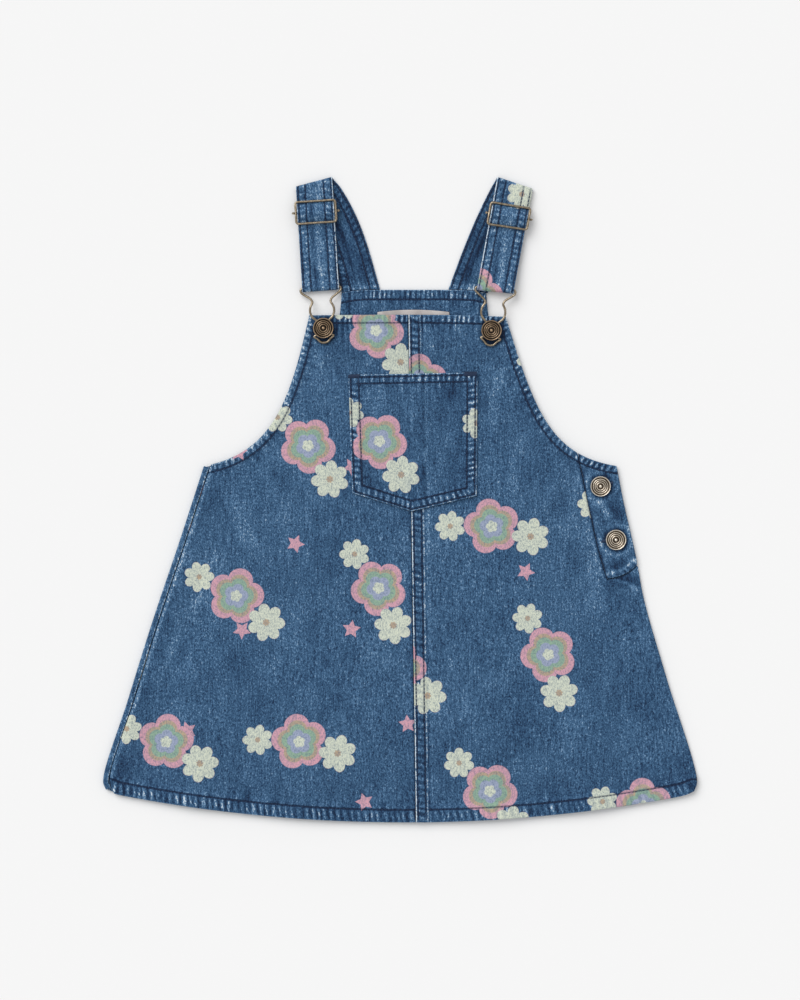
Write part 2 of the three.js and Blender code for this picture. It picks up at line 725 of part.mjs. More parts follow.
// A point on the strap's front part, a to the wearer's left of its middle and b below the fold.
function frontPoint(strap, plan, a, b, z) {
  const fromFold = plan.foldTurn * (1 - smooth(0, FOLD_SETTLES, b));
  const turn = fromFold + plan.twist * Math.min(1, Math.max(0, b / plan.length));
  const across = plan.across.clone().rotateAround(new THREE.Vector2(), turn);
  const reach = a / Math.cos(fromFold);
  return new THREE.Vector3(
    plan.start.x + plan.down.x * b + across.x * reach,
    plan.start.y + plan.down.y * b + across.y * reach,
    z,
  );
}

function underLayer(strap, b) {
  const rest = STRAP_WALL + GAP;
  return mix(rest, strap.low, smooth(strap.lowFrom, strap.lowTo, b)) + STRAP_WALL / 2;
}

// Height of the upper layer's middle, from the shoulder fold down to the buckle's bar.
function upperLayer(strap, plan) {
  const top = STRAP_WALL / 2 + 2 * FOLD_RADIUS;
  const layer = STRAP_WALL + GAP;
  const over = SLIDER_BAR_Z + WRAP + layer;
  const at = strap.sliderAt;
  const after = at + BAR_RISE;
  const before = at - BAR_RISE;
  const end = plan.length;
  const places = [
    { b: 0, z: top },
    { b: before - 5, z: top + 0.25 },
    { b: before, z: SLIDER_FRAME_Z - SLIDER_TILT - WRAP - 0.05 },
    { b: at - 5, z: over - 2.45 },
    { b: at - 2.1, z: over - 0.55 },
    { b: at, z: over },
    { b: at + 1.8, z: over - 0.2 },
    { b: at + 5, z: over - 1.45 },
    { b: after, z: SLIDER_FRAME_Z + SLIDER_TILT - WRAP - 0.1 },
    { b: after + 9, z: underLayer(strap, after + 9) + layer + 0.15 },
    { b: end - 20, z: underLayer(strap, end - 20) + layer + 0.2 },
    { b: end - 8, z: plan.barZ + WRAP - 0.9 },
    { b: end - 3, z: plan.barZ + WRAP - 0.1 },
    { b: end, z: plan.barZ + WRAP },
  ];
  const points = places.map(({ b, z }) => new THREE.Vector3(b, 0, z));
  return new THREE.CatmullRomCurve3(points, false, "centripetal");
}

function strapMiddle(strap) {
  const plan = strapPlan(strap);
  const columns = [-1, -1 / 3, 1 / 3, 1].map((a) => a * STRAP_HALF);
  const grid = [];
  const floor = STRAP_WALL / 2;
  // Back part: a curve on the surface, from the back bib's top edge to the shoulder.
  const baseLean = radians(strap.baseLean);
  const start = new THREE.Vector2(strap.base.x, strap.base.y + GAP);
  const end = new THREE.Vector2(strap.fold.x, strap.fold.y);
  const span = start.distanceTo(end);
  const away = new THREE.Vector2(-Math.sin(baseLean), Math.cos(baseLean));
  const low = start.clone().addScaledVector(away, span * BACK_HANDLES.low);
  low.x += strap.bow.low;
  const high = end.clone().addScaledVector(plan.up, -span * BACK_HANDLES.high);
  high.x += strap.bow.high;
  const backCurve = new THREE.CubicBezierCurve(start, low, high, end);
  // Its rows follow the bib's top edge, turn square to the strap further up, and lie along the fold at
  // the shoulder.
  const backSteps = 10;
  for (let i = 0; i < backSteps; i++) {
    const t = i / backSteps;
    const centre = backCurve.getPointAt(t);
    const direction = backCurve.getTangentAt(t);
    const square = Math.atan2(direction.y, direction.x) - Math.PI / 2;
    const turned = square * smooth(0, STRAP_BASE_TURN / span, t);
    const angle = mix(turned, radians(strap.foldTilt), smooth(FOLD_TURNS_FROM, 1, t));
    const narrow = mix(Math.cos(square - angle), Math.cos(plan.slant), smooth(FOLD_NARROWS_FROM, 1, t));
    const near = 1 - smooth(0, STRAP_BASE_TURN / span, t);
    grid.push(columns.map((a) => {
      const x = centre.x + (Math.cos(angle) * a) / narrow;
      const y = centre.y + (Math.sin(angle) * a) / narrow;
      return new THREE.Vector3(x, y - near * (strap.base.y - backBibEdge(x)), floor);
    }));
  }
  const foldSteps = 8;
  for (let i = 0; i < foldSteps; i++) {
    const angle = (Math.PI * i) / foldSteps;
    const out = FOLD_RADIUS * Math.sin(angle);
    const along = (FOLD_RADIUS * angle * plan.up.dot(plan.foldAlong)) / plan.up.dot(plan.foldOut);
    grid.push(columns.map((a) => {
      const reach = a / Math.cos(plan.slant) + along;
      return new THREE.Vector3(
        end.x + plan.foldAlong.x * reach + plan.foldOut.x * out,
        end.y + plan.foldAlong.y * reach + plan.foldOut.y * out,
        floor + FOLD_RADIUS * (1 - Math.cos(angle)),
      );
    }));
  }
  // The upper layer follows its heights down to the buckle's bar.
  const upperSteps = 38;
  for (const p of upperLayer(strap, plan).getSpacedPoints(upperSteps)) {
    grid.push(columns.map((a) => frontPoint(strap, plan, a, p.x, p.z)));
  }
  // Round the buckle's bar and back up underneath.
  const buckleSteps = 6;
  for (let i = 1; i <= buckleSteps; i++) {
    const angle = (Math.PI * i) / buckleSteps;
    const b = plan.length + WRAP * Math.sin(angle);
    const z = plan.barZ + WRAP * Math.cos(angle);
    grid.push(columns.map((a) => frontPoint(strap, plan, a, b, z)));
  }
  const underSteps = 9;
  for (let i = 1; i <= underSteps; i++) {
    const b = mix(plan.length, strap.sliderAt, i / underSteps);
    grid.push(columns.map((a) => frontPoint(strap, plan, a, b, underLayer(strap, b))));
  }
  // The end wraps the slider's centre bar.
  const wrapSteps = 7;
  for (let i = 1; i <= wrapSteps; i++) {
    const angle = radians((WRAP_TURN * i) / wrapSteps);
    const b = strap.sliderAt - WRAP * Math.sin(angle);
    const z = SLIDER_BAR_Z - WRAP * Math.cos(angle);
    grid.push(columns.map((a) => frontPoint(strap, plan, a, b, z)));
  }
  return grid;
}

function strapSolid(strap) {
  return turnedOut(evenWall(strapMiddle(strap), STRAP_WALL));
}

// Wire fittings

function wireLoop(points, steps) {
  const curve = new THREE.CatmullRomCurve3(points, true, "centripetal");
  const tube = new THREE.TubeGeometry(curve, steps, WIRE, 6, true);
  tube.deleteAttribute("normal");
  tube.deleteAttribute("uv");
  return mergeVertices(tube, 1e-4);
}

function circleShape(radius, sides) {
  const points = [];
  for (let i = 0; i < sides; i++) {
    const angle = (2 * Math.PI * i) / sides;
    points.push(new THREE.Vector2(radius * Math.cos(angle), radius * Math.sin(angle)));
  }
  return new THREE.Shape(points);
}

// A slider's frame: a rounded rectangle, a little lower on its upper side.
function sliderFrame(strap) {
  const plan = strapPlan(strap);
  const halfA = SLIDER.half - WIRE;
  const round = SLIDER.corner;
  const points = [];
  const place = (a, b) => {
    const z = SLIDER_FRAME_Z + SLIDER_TILT * (b / BAR_RISE);
    points.push(frontPoint(strap, plan, a, strap.sliderAt + b, z));
  };
  const corners = [
    { a: 1, b: 1, from: 0 },
    { a: -1, b: 1, from: 90 },
    { a: -1, b: -1, from: 180 },
    { a: 1, b: -1, from: 270 },
  ];
  for (const corner of corners) {
    for (const turn of [0, 30, 60, 90]) {
      const angle = radians(corner.from + turn);
      const a = corner.a * (halfA - round) + round * Math.cos(angle);
      const b = corner.b * (BAR_RISE - round) + round * Math.sin(angle);
      place(a, b);
    }
    // A straight stretch follows each corner.
    const upright = corner.a * corner.b < 0;
    place(upright ? corner.a * halfA : corner.a * 6, upright ? corner.b * 2 : corner.b * BAR_RISE);
    place(upright ? corner.a * halfA : -corner.a * 6, upright ? -corner.b * 2 : corner.b * BAR_RISE);
  }
  return wireLoop(points, 48);
}

// Its centre bar, which runs under the frame's sides and turns up outside them.
function sliderBar(strap) {
  const plan = strapPlan(strap);
  const places = [
    { a: -SLIDER.barEnd, rise: 1.5 },
    { a: -SLIDER.barEnd + 0.2, rise: 0.5 },
    { a: -SLIDER.barEnd + 1.1, rise: 0 },
    { a: -8, rise: 0 },
    { a: 8, rise: 0 },
    { a: SLIDER.barEnd - 1.1, rise: 0 },
    { a: SLIDER.barEnd - 0.2, rise: 0.5 },
    { a: SLIDER.barEnd, rise: 1.5 },
  ];
  const points = places.map(({ a, rise }) => frontPoint(strap, plan, a, strap.sliderAt, SLIDER_BAR_Z + rise));
  const extrudePath = new THREE.CatmullRomCurve3(points, false, "centripetal");
  return new THREE.ExtrudeGeometry(circleShape(WIRE, 6), { extrudePath, steps: 20, bevelEnabled: false });
}

// The highest the front lies under a buckle.
function buckleSeat(strap) {
  let top = 0;
  for (let x = -10; x <= 10; x += 2.5) {
    for (let y = -16; y <= 16; y += 2) {
      top = Math.max(top, frontTop(strap.button.x + x, Math.min(strap.button.y + y, BIB_TOP)));
    }
  }
  return top;
}

function buckleHeight(strap, plan, down) {
  const high = buckleSeat(strap) + GAP + WIRE;
  return mix(plan.barZ, high, smooth(0, BUCKLE_CLIMB, down));
}

function buckle(strap) {
  const plan = strapPlan(strap);
  const across = new THREE.Vector2(-plan.buckleDown.y, plan.buckleDown.x);
  const stretch = plan.reach / BUTTON_AT;
  const place = (half, down) => new THREE.Vector3(
    plan.bar.x + plan.buckleDown.x * down * stretch + across.x * half,
    plan.bar.y + plan.buckleDown.y * down * stretch + across.y * half,
    buckleHeight(strap, plan, down),
  );
  const leftSide = BUCKLE.map((row) => place(row.half, row.down));
  const rightSide = BUCKLE.map((row) => place(-row.half, row.down)).reverse();
  const bar = [-8, 0, 8].map((half) => place(half, 0));
  const loop = [...bar, ...leftSide, place(0, BUCKLE_BOTTOM), ...rightSide];
  return wireLoop(loop, 88);
}

// A tack button on its shank.
function button(x, y, discZ, seatZ) {
  const shank = [new THREE.Vector2(0, seatZ), new THREE.Vector2(SHANK_RADIUS, seatZ)];
  const face = BUTTON_FACE.map((row) => new THREE.Vector2(row.radius, discZ + row.height * BUTTON_HEIGHT));
  const lathe = new THREE.LatheGeometry([...shank, ...face], 16);
  return lathe.rotateX(Math.PI / 2).translate(x, y, 0);
}

// The dress

addMesh("back", back(), DENIM_BACK);
addMesh("back_facing", facing(), DENIM_BAND);
addMesh("label", label(), LABEL_CLOTH);
addMesh("front_right", frontRight(), DENIM);
addMesh("front_left", frontLeft(), DENIM);
addMesh("pocket", pocket(), DENIM_BAND);
addMesh("side_placket", sidePlacket(), DENIM_BAND);
for (const strap of STRAPS) {
  const plan = strapPlan(strap);
  addMesh("strap_" + strap.side, strapSolid(strap), DENIM_BAND);
  addMesh("slider_frame_" + strap.side, sliderFrame(strap), BRASS);
  addMesh("slider_bar_" + strap.side, sliderBar(strap), BRASS);
  addMesh("buckle_" + strap.side, buckle(strap), BRASS);
  const disc = buckleHeight(strap, plan, BUTTON_AT) + WIRE + GAP;
  const seat = frontTop(strap.button.x, strap.button.y) + GAP;
  addMesh("bib_button_" + strap.side, button(strap.button.x, strap.button.y, disc, seat), BRASS);
}
for (const place of SIDE_BUTTONS) {
  const disc = placketUnder(place.x, place.y) + PLACKET_WALL + GAP;
  addMesh(place.name, button(place.x, place.y, disc, CLOTH + GAP), BRASS_BRIGHT);
}

export default group;
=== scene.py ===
# %% [markdown]
# # A child's denim pinafore dress, laid flat
# The solids give every piece its place and size. This lesson dresses them: each panel becomes a thin
# shell with its turned edges, puckers and creases, each seam gets its thread, and each wire and button
# gets its true roundness. Lengths are in millimetres until a mesh is made. +X is the wearer's left,
# +Y runs from the hem to the straps, and +Z is up off the surface.

# %% Load the frame
import math
import bpy
import numpy as np
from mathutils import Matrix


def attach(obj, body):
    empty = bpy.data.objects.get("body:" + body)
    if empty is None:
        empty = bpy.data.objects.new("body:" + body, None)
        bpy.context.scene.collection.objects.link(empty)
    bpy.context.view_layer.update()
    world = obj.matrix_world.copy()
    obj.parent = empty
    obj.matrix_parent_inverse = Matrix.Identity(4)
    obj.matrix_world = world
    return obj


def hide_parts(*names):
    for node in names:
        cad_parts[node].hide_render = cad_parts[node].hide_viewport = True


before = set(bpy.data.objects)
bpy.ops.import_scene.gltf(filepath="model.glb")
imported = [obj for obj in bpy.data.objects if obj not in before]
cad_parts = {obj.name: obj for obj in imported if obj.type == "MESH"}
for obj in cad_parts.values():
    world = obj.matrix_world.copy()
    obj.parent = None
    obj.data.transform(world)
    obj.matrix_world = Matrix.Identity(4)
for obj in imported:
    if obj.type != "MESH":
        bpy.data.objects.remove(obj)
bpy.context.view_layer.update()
MM = 0.001
print("solids in the frame:", len(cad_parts))

# %% [markdown]
# ## Floor, light and camera
# The dress was photographed from straight above on white. A wide, soft light from the upper left picks
# out the puckers, and a pale surround fills the shadows. The camera has a long lens, so that the sides
# of the dress show no more than they do in the photograph.

# %% Stage
PIXEL = 0.83  # millimetres of the dress in one pixel of the photograph
PHOTO_TALL = 1000  # rows of the photograph
ORIGIN_ROW = 499.5  # the row that the dress's origin lies on
VIEW_TALL = PHOTO_TALL * PIXEL
VIEW_MIDDLE_Y = (ORIGIN_ROW - PHOTO_TALL / 2) * PIXEL
CAMERA_HEIGHT = 3200
SENSOR = 36
WINDOW = {"direction": (-1.0, 1.2, 1.5), "angle": 45, "strength": 1.9}
SURROUND = 0.68
FLOOR_REACH, FLOOR_DROP = 6.0, 0.0002  # metres out from the dress, and below its underside


def linear(screen):
    """A colour as shaders take it, from its value on a screen."""
    values = [int(screen[k:k + 2], 16) / 255 for k in (1, 3, 5)]
    return [v / 12.92 if v <= 0.04045 else ((v + 0.055) / 1.055) ** 2.4 for v in values] + [1.0]


def add_light(name, direction, angle, strength):
    """A far, wide light from one direction."""
    lamp = bpy.data.lights.new(name, "SUN")
    lamp.angle = math.radians(angle)
    lamp.energy = strength
    made = bpy.data.objects.new(name, lamp)
    made.location = direction
    made.rotation_euler = made.location.to_track_quat("Z", "Y").to_euler()
    bpy.context.collection.objects.link(made)


def add_camera():
    lens = bpy.data.cameras.new("camera")
    lens.sensor_fit = "VERTICAL"
    lens.sensor_height = SENSOR
    lens.lens = SENSOR * CAMERA_HEIGHT / VIEW_TALL
    lens.clip_end = 50
    made = bpy.data.objects.new("camera", lens)
    made.location = (0, VIEW_MIDDLE_Y * MM, CAMERA_HEIGHT * MM)
    bpy.context.collection.objects.link(made)
    bpy.context.scene.camera = made


def add_floor():
    mesh = bpy.data.meshes.new("floor")
    signs = ((-1, -1), (1, -1), (1, 1), (-1, 1))
    corners = [(i * FLOOR_REACH, j * FLOOR_REACH, -FLOOR_DROP) for i, j in signs]
    mesh.from_pydata(corners, [], [(0, 1, 2, 3)])
    made = bpy.data.objects.new("floor", mesh)
    bpy.context.collection.objects.link(made)
    paint = bpy.data.materials.new("floor_paint")
    paint.use_nodes = True
    shader = paint.node_tree.nodes["Principled BSDF"]
    shader.inputs["Base Color"].default_value = (0.84, 0.84, 0.84, 1)
    shader.inputs["Roughness"].default_value = 0.9
    shader.inputs["Specular IOR Level"].default_value = 0.1
    mesh.materials.append(paint)


add_light("window", **WINDOW)
world = bpy.data.worlds.new("surround")
world.use_nodes = True
world.node_tree.nodes["Background"].inputs["Color"].default_value = (1, 1, 1, 1)
world.node_tree.nodes["Background"].inputs["Strength"].default_value = SURROUND
bpy.context.scene.world = world
bpy.context.scene.view_settings.view_transform = "Standard"
add_camera()
add_floor()
print("the camera stands", CAMERA_HEIGHT, "mm over the dress")

# %% [markdown]
# ## Small sums
# A panel's unevenness has to be the same on every run. So the ripples and patches are read from small
# tables of seeded random numbers and joined smoothly. A ripple runs along an edge, and a patch spreads
# over a panel.

# %% Sums on arrays


def smooth(low, high, value):
    share = np.clip((value - low) / (high - low), 0, 1)
    return share * share * (3 - 2 * share)


def mix(a, b, share):
    return a + (b - a) * share


def bell(away, wide):
    """1 in the middle of a soft ridge, falling to nothing on both sides of it."""
    return np.exp(-((away / wide) ** 2))


def table(columns, rows):
    """Rows of values, each under the names of the columns."""
    return [dict(zip(columns, row)) for row in rows]


def ripple(along, pitch, seed):
    """An uneven wave from -1 to 1 along a line."""
    heights = np.random.default_rng(seed).uniform(-1, 1, 512)
    place = np.asarray(along, float) / pitch
    first = np.floor(place).astype(int)
    share = smooth(0, 1, place - first)
    return mix(heights[first % 512], heights[(first + 1) % 512], share)


def rungs(along, pitch, seed):
    """Crests and hollows from 1 to -1 at an uneven pitch along a stitched edge."""
    phase = 2 * math.pi * np.asarray(along) / pitch + 1.9 * ripple(along, pitch * 1.4, seed)
    return np.cos(phase) * (0.65 + 0.35 * ripple(along, pitch * 2.3, seed + 1))


def patches(x, y, pitch, seed):
    """Uneven soft hills from -1 to 1 over a panel."""
    heights = np.random.default_rng(seed).uniform(-1, 1, (64, 64))
    across, up = np.asarray(x, float) / pitch, np.asarray(y, float) / pitch
    i, j = np.floor(across).astype(int), np.floor(up).astype(int)
    right, above = smooth(0, 1, across - i), smooth(0, 1, up - j)
    low = mix(heights[i % 64, j % 64], heights[(i + 1) % 64, j % 64], right)
    high = mix(heights[i % 64, (j + 1) % 64], heights[(i + 1) % 64, (j + 1) % 64], right)
    return mix(low, high, above)


print("a ripple's first heights:", ripple(np.arange(4), 1.7, 1).round(2))

# %% [markdown]
# ## Lines in the plan
# A pattern cutter works with lines: a side seam through a few measured points, an armhole as one swept
# curve. The same two kinds of line make every edge here, and the distance to a line tells each point of
# a panel which seam it lies beside.

# %% Lines


def through(points, closed=False, steps=24):
    """A smooth line of points through the given ones."""
    points = np.asarray(points, float)
    if closed:
        around = np.concatenate([points[-1:], points, points[:2]])
    else:
        around = np.concatenate([[2 * points[0] - points[1]], points, [2 * points[-1] - points[-2]]])
    t = np.linspace(0, 1, steps, endpoint=False)[:, None]
    made = []
    for k in range(len(around) - 3):
        p0, p1, p2, p3 = around[k:k + 4]
        d0, d1, d2 = (max(1e-3, np.linalg.norm(b - a) ** 0.5) for a, b in ((p0, p1), (p1, p2), (p2, p3)))
        m1 = d1 * ((p1 - p0) / d0 - (p2 - p0) / (d0 + d1) + (p2 - p1) / d1)
        m2 = d1 * ((p2 - p1) / d1 - (p3 - p1) / (d1 + d2) + (p3 - p2) / d2)
        made.append(p1 + m1 * t + (3 * (p2 - p1) - 2 * m1 - m2) * t**2 + (2 * (p1 - p2) + m1 + m2) * t**3)
    made.append(points[:1] if closed else points[-1:])
    return np.concatenate(made)


def bezier(handles, steps=60):
    t = np.linspace(0, 1, steps + 1)[:, None]
    levels = [np.asarray(handle, float) for handle in handles]
    while len(levels) > 1:
        levels = [a + (b - a) * t for a, b in zip(levels, levels[1:])]
    return levels[0]


def unit(vector):
    return vector / np.linalg.norm(vector)


def lengths(line):
    return np.concatenate([[0], np.cumsum(np.linalg.norm(np.diff(line, axis=0), axis=1))])


def along_line(line, places):
    """The points at these lengths along a line."""
    at = lengths(line)
    return np.stack([np.interp(places, at, line[:, k]) for k in range(line.shape[1])], 1)


def shares_of(line, shares):
    return along_line(line, np.asarray(shares) * lengths(line)[-1])


def part_of(line, start, end, count=60):
    """The stretch of a line between two shares of its length."""
    return shares_of(line, np.linspace(start, end, count))


def nearest(x, y, line):
    """How far each place lies from a line, and how far along the line its nearest point is."""
    here = np.stack([np.ravel(x), np.ravel(y)], 1)
    start, step = line[:-1], np.diff(line, axis=0)
    size = np.maximum(np.hypot(step[:, 0], step[:, 1]), 1e-6)
    before = np.concatenate([[0], np.cumsum(size)[:-1]])
    far, along = np.empty(len(here)), np.empty(len(here))
    for k in range(0, len(here), 5000):
        to = here[k:k + 5000, None] - start
        share = np.clip((to * step).sum(2) / size**2, 0, 1)
        miss = np.linalg.norm(to - share[..., None] * step, axis=2)
        best = miss.argmin(1)
        row = np.arange(len(best))
        far[k:k + 5000] = miss[row, best]
        along[k:k + 5000] = before[best] + share[row, best] * size[best]
    return far.reshape(np.shape(x)), along.reshape(np.shape(x))


# %% [markdown]
# ## The cut
# These are the dress's own measures, the same ones that its solids have: the curved hem, the two side
# seams, the armholes, the bib's top, the felled seam down the middle and the placket on the wearer's
# left.

# %% Measures
CLOTH, TURNED, THIN, GAP = 1.2, 2.2, 1.0, 0.3
HEM_BAND, ARMHOLE_BAND, BIB_BAND = 10.5, 6.3, 6.7
SEAM_BAND, SEAM_RISE = 9.5, 0.8
HEM_LOW, HEM_LOW_X, HEM_SAG, HEM_HALF = -267.7, 3, 18.5, 213
CORNER_START, CORNER_LIFT, CORNER_REACH, CORNER_X, CORNER_NARROWS = 232, 2.2, 12, 243.9, 1.25
BIB_TOP, SEAM_X, SEAM_SLOPE, UNDERARM_Y = 153.1, 7.05, -0.0149, 27.8
BIB_HALF, BIB_DROP = 81, {"right": 0.4, "left": 1.6}
BACK_TOP, BACK_CORNER_DROP, BACK_INSET = 174, 2.8, 0.8
BACK_RIGHT_X, BACK_LEFT_X = -48.6, 71.6
SIDE_RIGHT = [(-246.3, -233.6), (-225.8, -166.4), (-205, -100), (-182.6, -33.6), (-162.7, UNDERARM_Y)]
SIDE_LEFT = [(246.3, -233.6), (221.6, -149.8), (202.5, -83.4), (196.2, -50), (185.1, -0.4)]
SIDE_LEFT.append((179.7, UNDERARM_Y))
FRONT_ARM_RIGHT = bezier([(-162.7, 27.8), (-105.8, 38.3), (-91.4, 80.7), (-75.3, 152.7)])
ARM_LEFT_HANDLES = [(179.7, 27.8), (124.3, 36.6), (111.7, 73.4), (87.8, 151.5)]
FRONT_ARM_LEFT = bezier(ARM_LEFT_HANDLES)
BACK_ARM_RIGHT = bezier([(-161.5, 27), (-100, 36), (-50.5, 100), (-48.6, 171.2)])
BACK_ARM_LEFT = bezier([(178.5, 27), (122, 34), (76, 90), (71.6, 171.2)])
PLACKET_SEAM = [(171.9, -65.4), (165.7, -45.9), (158, -12.5), (151, 21.7), (147.6, 38.5)]
PLACKET_LOW, PLACKET_END, PLACKET_WALL, PLACKET_SHARE = (187.3, -64.4), (196.6, -54), 2.4, 0.23
LABEL = {"left": -18.7, "right": 40.9, "top": 157.3, "depth": 22}
FLUTES = table(("x", "width", "height", "reach"),
               [(-172, 26, 1.5, 150), (-84, 34, 1.1, 200), (78, 30, 1.4, 170), (158, 24, 1.6, 130)])
FLUTES_MEET = 1400  # how far over the hem the lines of the flutes would meet
# The front's belly over the back: its middle, and its half width at the underarm and at the bib
DOME = {"height": 2, "middle": 7, "underarm": 165, "widens": 0.32, "bib": 95, "fall": 2.4}
# Where the front starts to climb over the facing and over the label, and where it has climbed
OVER_FACING = {"right": (-74, -60), "left": (82, 92), "low": (112, 122)}
OVER_LABEL = {"away": 12, "near": 2, "low": (122, 132)}
SIDE_LIFT = 1.7


def hem_line(x):
    corner = np.maximum(0, np.abs(x) - CORNER_START) / CORNER_REACH
    return HEM_LOW + HEM_SAG * ((x - HEM_LOW_X) / HEM_HALF) ** 2 + CORNER_LIFT * corner**2


def seam_line(y):
    return SEAM_X + SEAM_SLOPE * (y - BIB_TOP)


def bib_edge(x):
    drop = np.where(x < SEAM_X, BIB_DROP["right"], BIB_DROP["left"])
    return BIB_TOP - (np.abs(x - SEAM_X) / BIB_HALF) ** 2 * drop


def plan(x, y):
    return np.stack([x, y], -1)


def edge_of(line, start, end, count):
    """Points along a curved edge between two places across."""
    x = np.linspace(start, end, count)
    return plan(x, line(x))


def curve_between(start, end, line, count=60):
    """The stretch of a curved edge between two points that lie on it or close to it."""
    x = np.linspace(start[0], end[0], count)
    ends = np.linspace(start[1] - line(start[0]), end[1] - line(end[0]), count)
    return plan(x, line(x) + ends)


print("hem at the middle:", hem_line(HEM_LOW_X), "mm, bib top:", bib_edge(SEAM_X), "mm")

# %% [markdown]
# ## Heights
# The front lies on the back, so its height is two layers of cloth and a little air. To that come the
# turned edges, the strip where the wearer's right side seam rolls forward, the facing underneath, a
# slight belly and the soft flutes above the hem.

# %% The front's height


def hem_turn(x, y, spread):
    return 1 - smooth(HEM_BAND + spread, HEM_BAND + spread + 2, y - hem_line(x))


def belly(x, y):
    below = DOME["underarm"] + (UNDERARM_Y - y) * DOME["widens"]
    above = mix(DOME["underarm"], DOME["bib"], smooth(UNDERARM_Y, 120, y))
    half = np.where(y < UNDERARM_Y, below, above)
    across = np.maximum(0, 1 - (np.abs(x - DOME["middle"]) / half) ** DOME["fall"])
    return DOME["height"] * across * smooth(0, 70, y - hem_line(x)) * (1 - smooth(60, 150, y))


def fluting(x, y):
    height = 0
    for flute in FLUTES:
        centre = flute["x"] * (1 - (y - HEM_LOW) / FLUTES_MEET)
        fade = 1 - smooth(20, flute["reach"], y - hem_line(x))
        height = height + flute["height"] * bell(x - centre, flute["width"]) * fade
    return height


def over_facing(x, y):
    facing = smooth(*OVER_FACING["right"], x) * (1 - smooth(*OVER_FACING["left"], x))
    facing = facing * smooth(*OVER_FACING["low"], y)
    left, right, away, near = LABEL["left"], LABEL["right"], OVER_LABEL["away"], OVER_LABEL["near"]
    label = smooth(left - away, left - near, x) * (1 - smooth(right + near, right + away, x))
    return (THIN + GAP) * (facing + label * smooth(*OVER_LABEL["low"], y))


def turned_edge(x, y):
    arm = np.minimum(nearest(x, y, FRONT_ARM_RIGHT)[0], nearest(x, y, FRONT_ARM_LEFT)[0])
    armhole = 1 - smooth(ARMHOLE_BAND, ARMHOLE_BAND + 2.5, arm)
    return np.maximum(armhole, smooth(BIB_TOP - ARMHOLE_BAND - 3, BIB_TOP - ARMHOLE_BAND, y))


def beside_roll(x, y):
    side = SIDE_RIGHT[-1][0] + (y - UNDERARM_Y) * DOME["widens"]
    return (1 - smooth(6, 34, x - side)) * (1 - smooth(14, 28, y))


def front_heights(x, y):
    """The front's top and underside before its puckers and creases."""
    hem, turned = hem_turn(x, y, 1.5), turned_edge(x, y)
    extra = TURNED - CLOTH
    raised = np.maximum.reduce([2 * extra * hem, SIDE_LIFT * beside_roll(x, y), extra * turned])
    top = 2 * CLOTH + GAP + raised + over_facing(x, y) + belly(x, y) + fluting(x, y)
    return top, top - CLOTH - extra * np.maximum(hem, turned)


# %% [markdown]
# ## Stitched edges and creases
# A washed denim edge isn't smooth. Where it is turned and stitched, the thread pulls the cloth into small
# puckers whose crests are rubbed pale and whose hollows stay dark. Each kind of edge has its stitch rows,
# its wear and the pitch of its puckers in one table. Every point of a panel takes them from the edge it is
# nearest to, as numbers stored on the mesh, which the denim's shader reads.

# %% Kinds of edge
NO_ROW = -9
# Where its stitch rows lie, how far its fold is rubbed, and the pitch, slant and strength of its puckers,
# which pull at the cloth beside it as far as the last number says
EDGE_COLUMNS = ("row_a", "row_b", "rub", "pitch", "slant", "pucker", "pull")
EDGE_ROWS = {
    "hem": (HEM_BAND, NO_ROW, 0.3, 5.4, 0.22, 1.1, 5),
    "armhole": (ARMHOLE_BAND, NO_ROW, 0.3, 4.9, 0.25, 1.0, 4),
    "bib": (BIB_BAND, NO_ROW, 0.35, 4.3, 0.05, 1.15, 12),
    "back_bib": (8.0, NO_ROW, 0.5, 4.0, 0.05, 1.0, 6),
    "felled": (1.7, 8.3, 0.75, 5.6, 0.2, 0.7, 4),
    "pocket_side": (1.7, 8.3, 0.5, 4.9, 0.2, 0.9, 5),
    "pocket_top": (2.1, 7.5, 0.6, 5.0, 0.1, 0.8, 7),
    "placket": (6.0, NO_ROW, 0.3, 5.0, 0.3, 0.7, 4),
}
EDGES = {kind: dict(zip(EDGE_COLUMNS, row)) for kind, row in EDGE_ROWS.items()}
FIELDS = ("edge", "row_a", "row_b", "rub", "worn")


def edge_fields(x, y, edges, seed):
    """The shader's numbers for each place, and how far the puckers lift it."""
    fields = {"edge": np.full(np.shape(x), 99.0)}
    for name in FIELDS[1:]:
        fields[name] = np.full(np.shape(x), float(NO_ROW if "row" in name else 0))
    lift = np.zeros(np.shape(x))
    for count, (kind, line) in enumerate(edges):
        facts = EDGES[kind]
        far, along = nearest(x, y, line)
        width = max(facts["row_a"], facts["row_b"])
        wave = rungs(along + facts["slant"] * far, facts["pitch"], seed + count)
        inside = np.sin(np.pi * np.clip(far / width, 0, 1)) ** 0.7
        beyond = np.exp(-np.maximum(0, far - width) / facts["pull"]) * smooth(width, width + 1.2, far)
        pulled = ripple(along, 2.1, seed + count + 90) + 0.5 * rungs(along, facts["pitch"], seed + count)
        closer = far < fields["edge"]
        for name in ("row_a", "row_b", "rub"):
            fields[name] = np.where(closer, facts[name], fields[name])
        fields["edge"] = np.where(closer, far, fields["edge"])
        band = far < width
        crest = 0.6 * np.maximum(wave, 0) ** 1.2 + 0.34 * np.minimum(wave, 0)
        worn = facts["pucker"] * ((crest + 0.04) * inside - 0.07 * band + 0.22 * pulled * beyond)
        raised = facts["pucker"] * (0.3 * wave * inside + 0.12 * pulled * beyond)
        owned = closer | band
        fields["worn"] = np.where(owned, worn, fields["worn"])
        lift = np.where(owned, raised, lift)
    return fields, lift


CREASE_COLUMNS = ("start", "end", "width", "height", "bend")


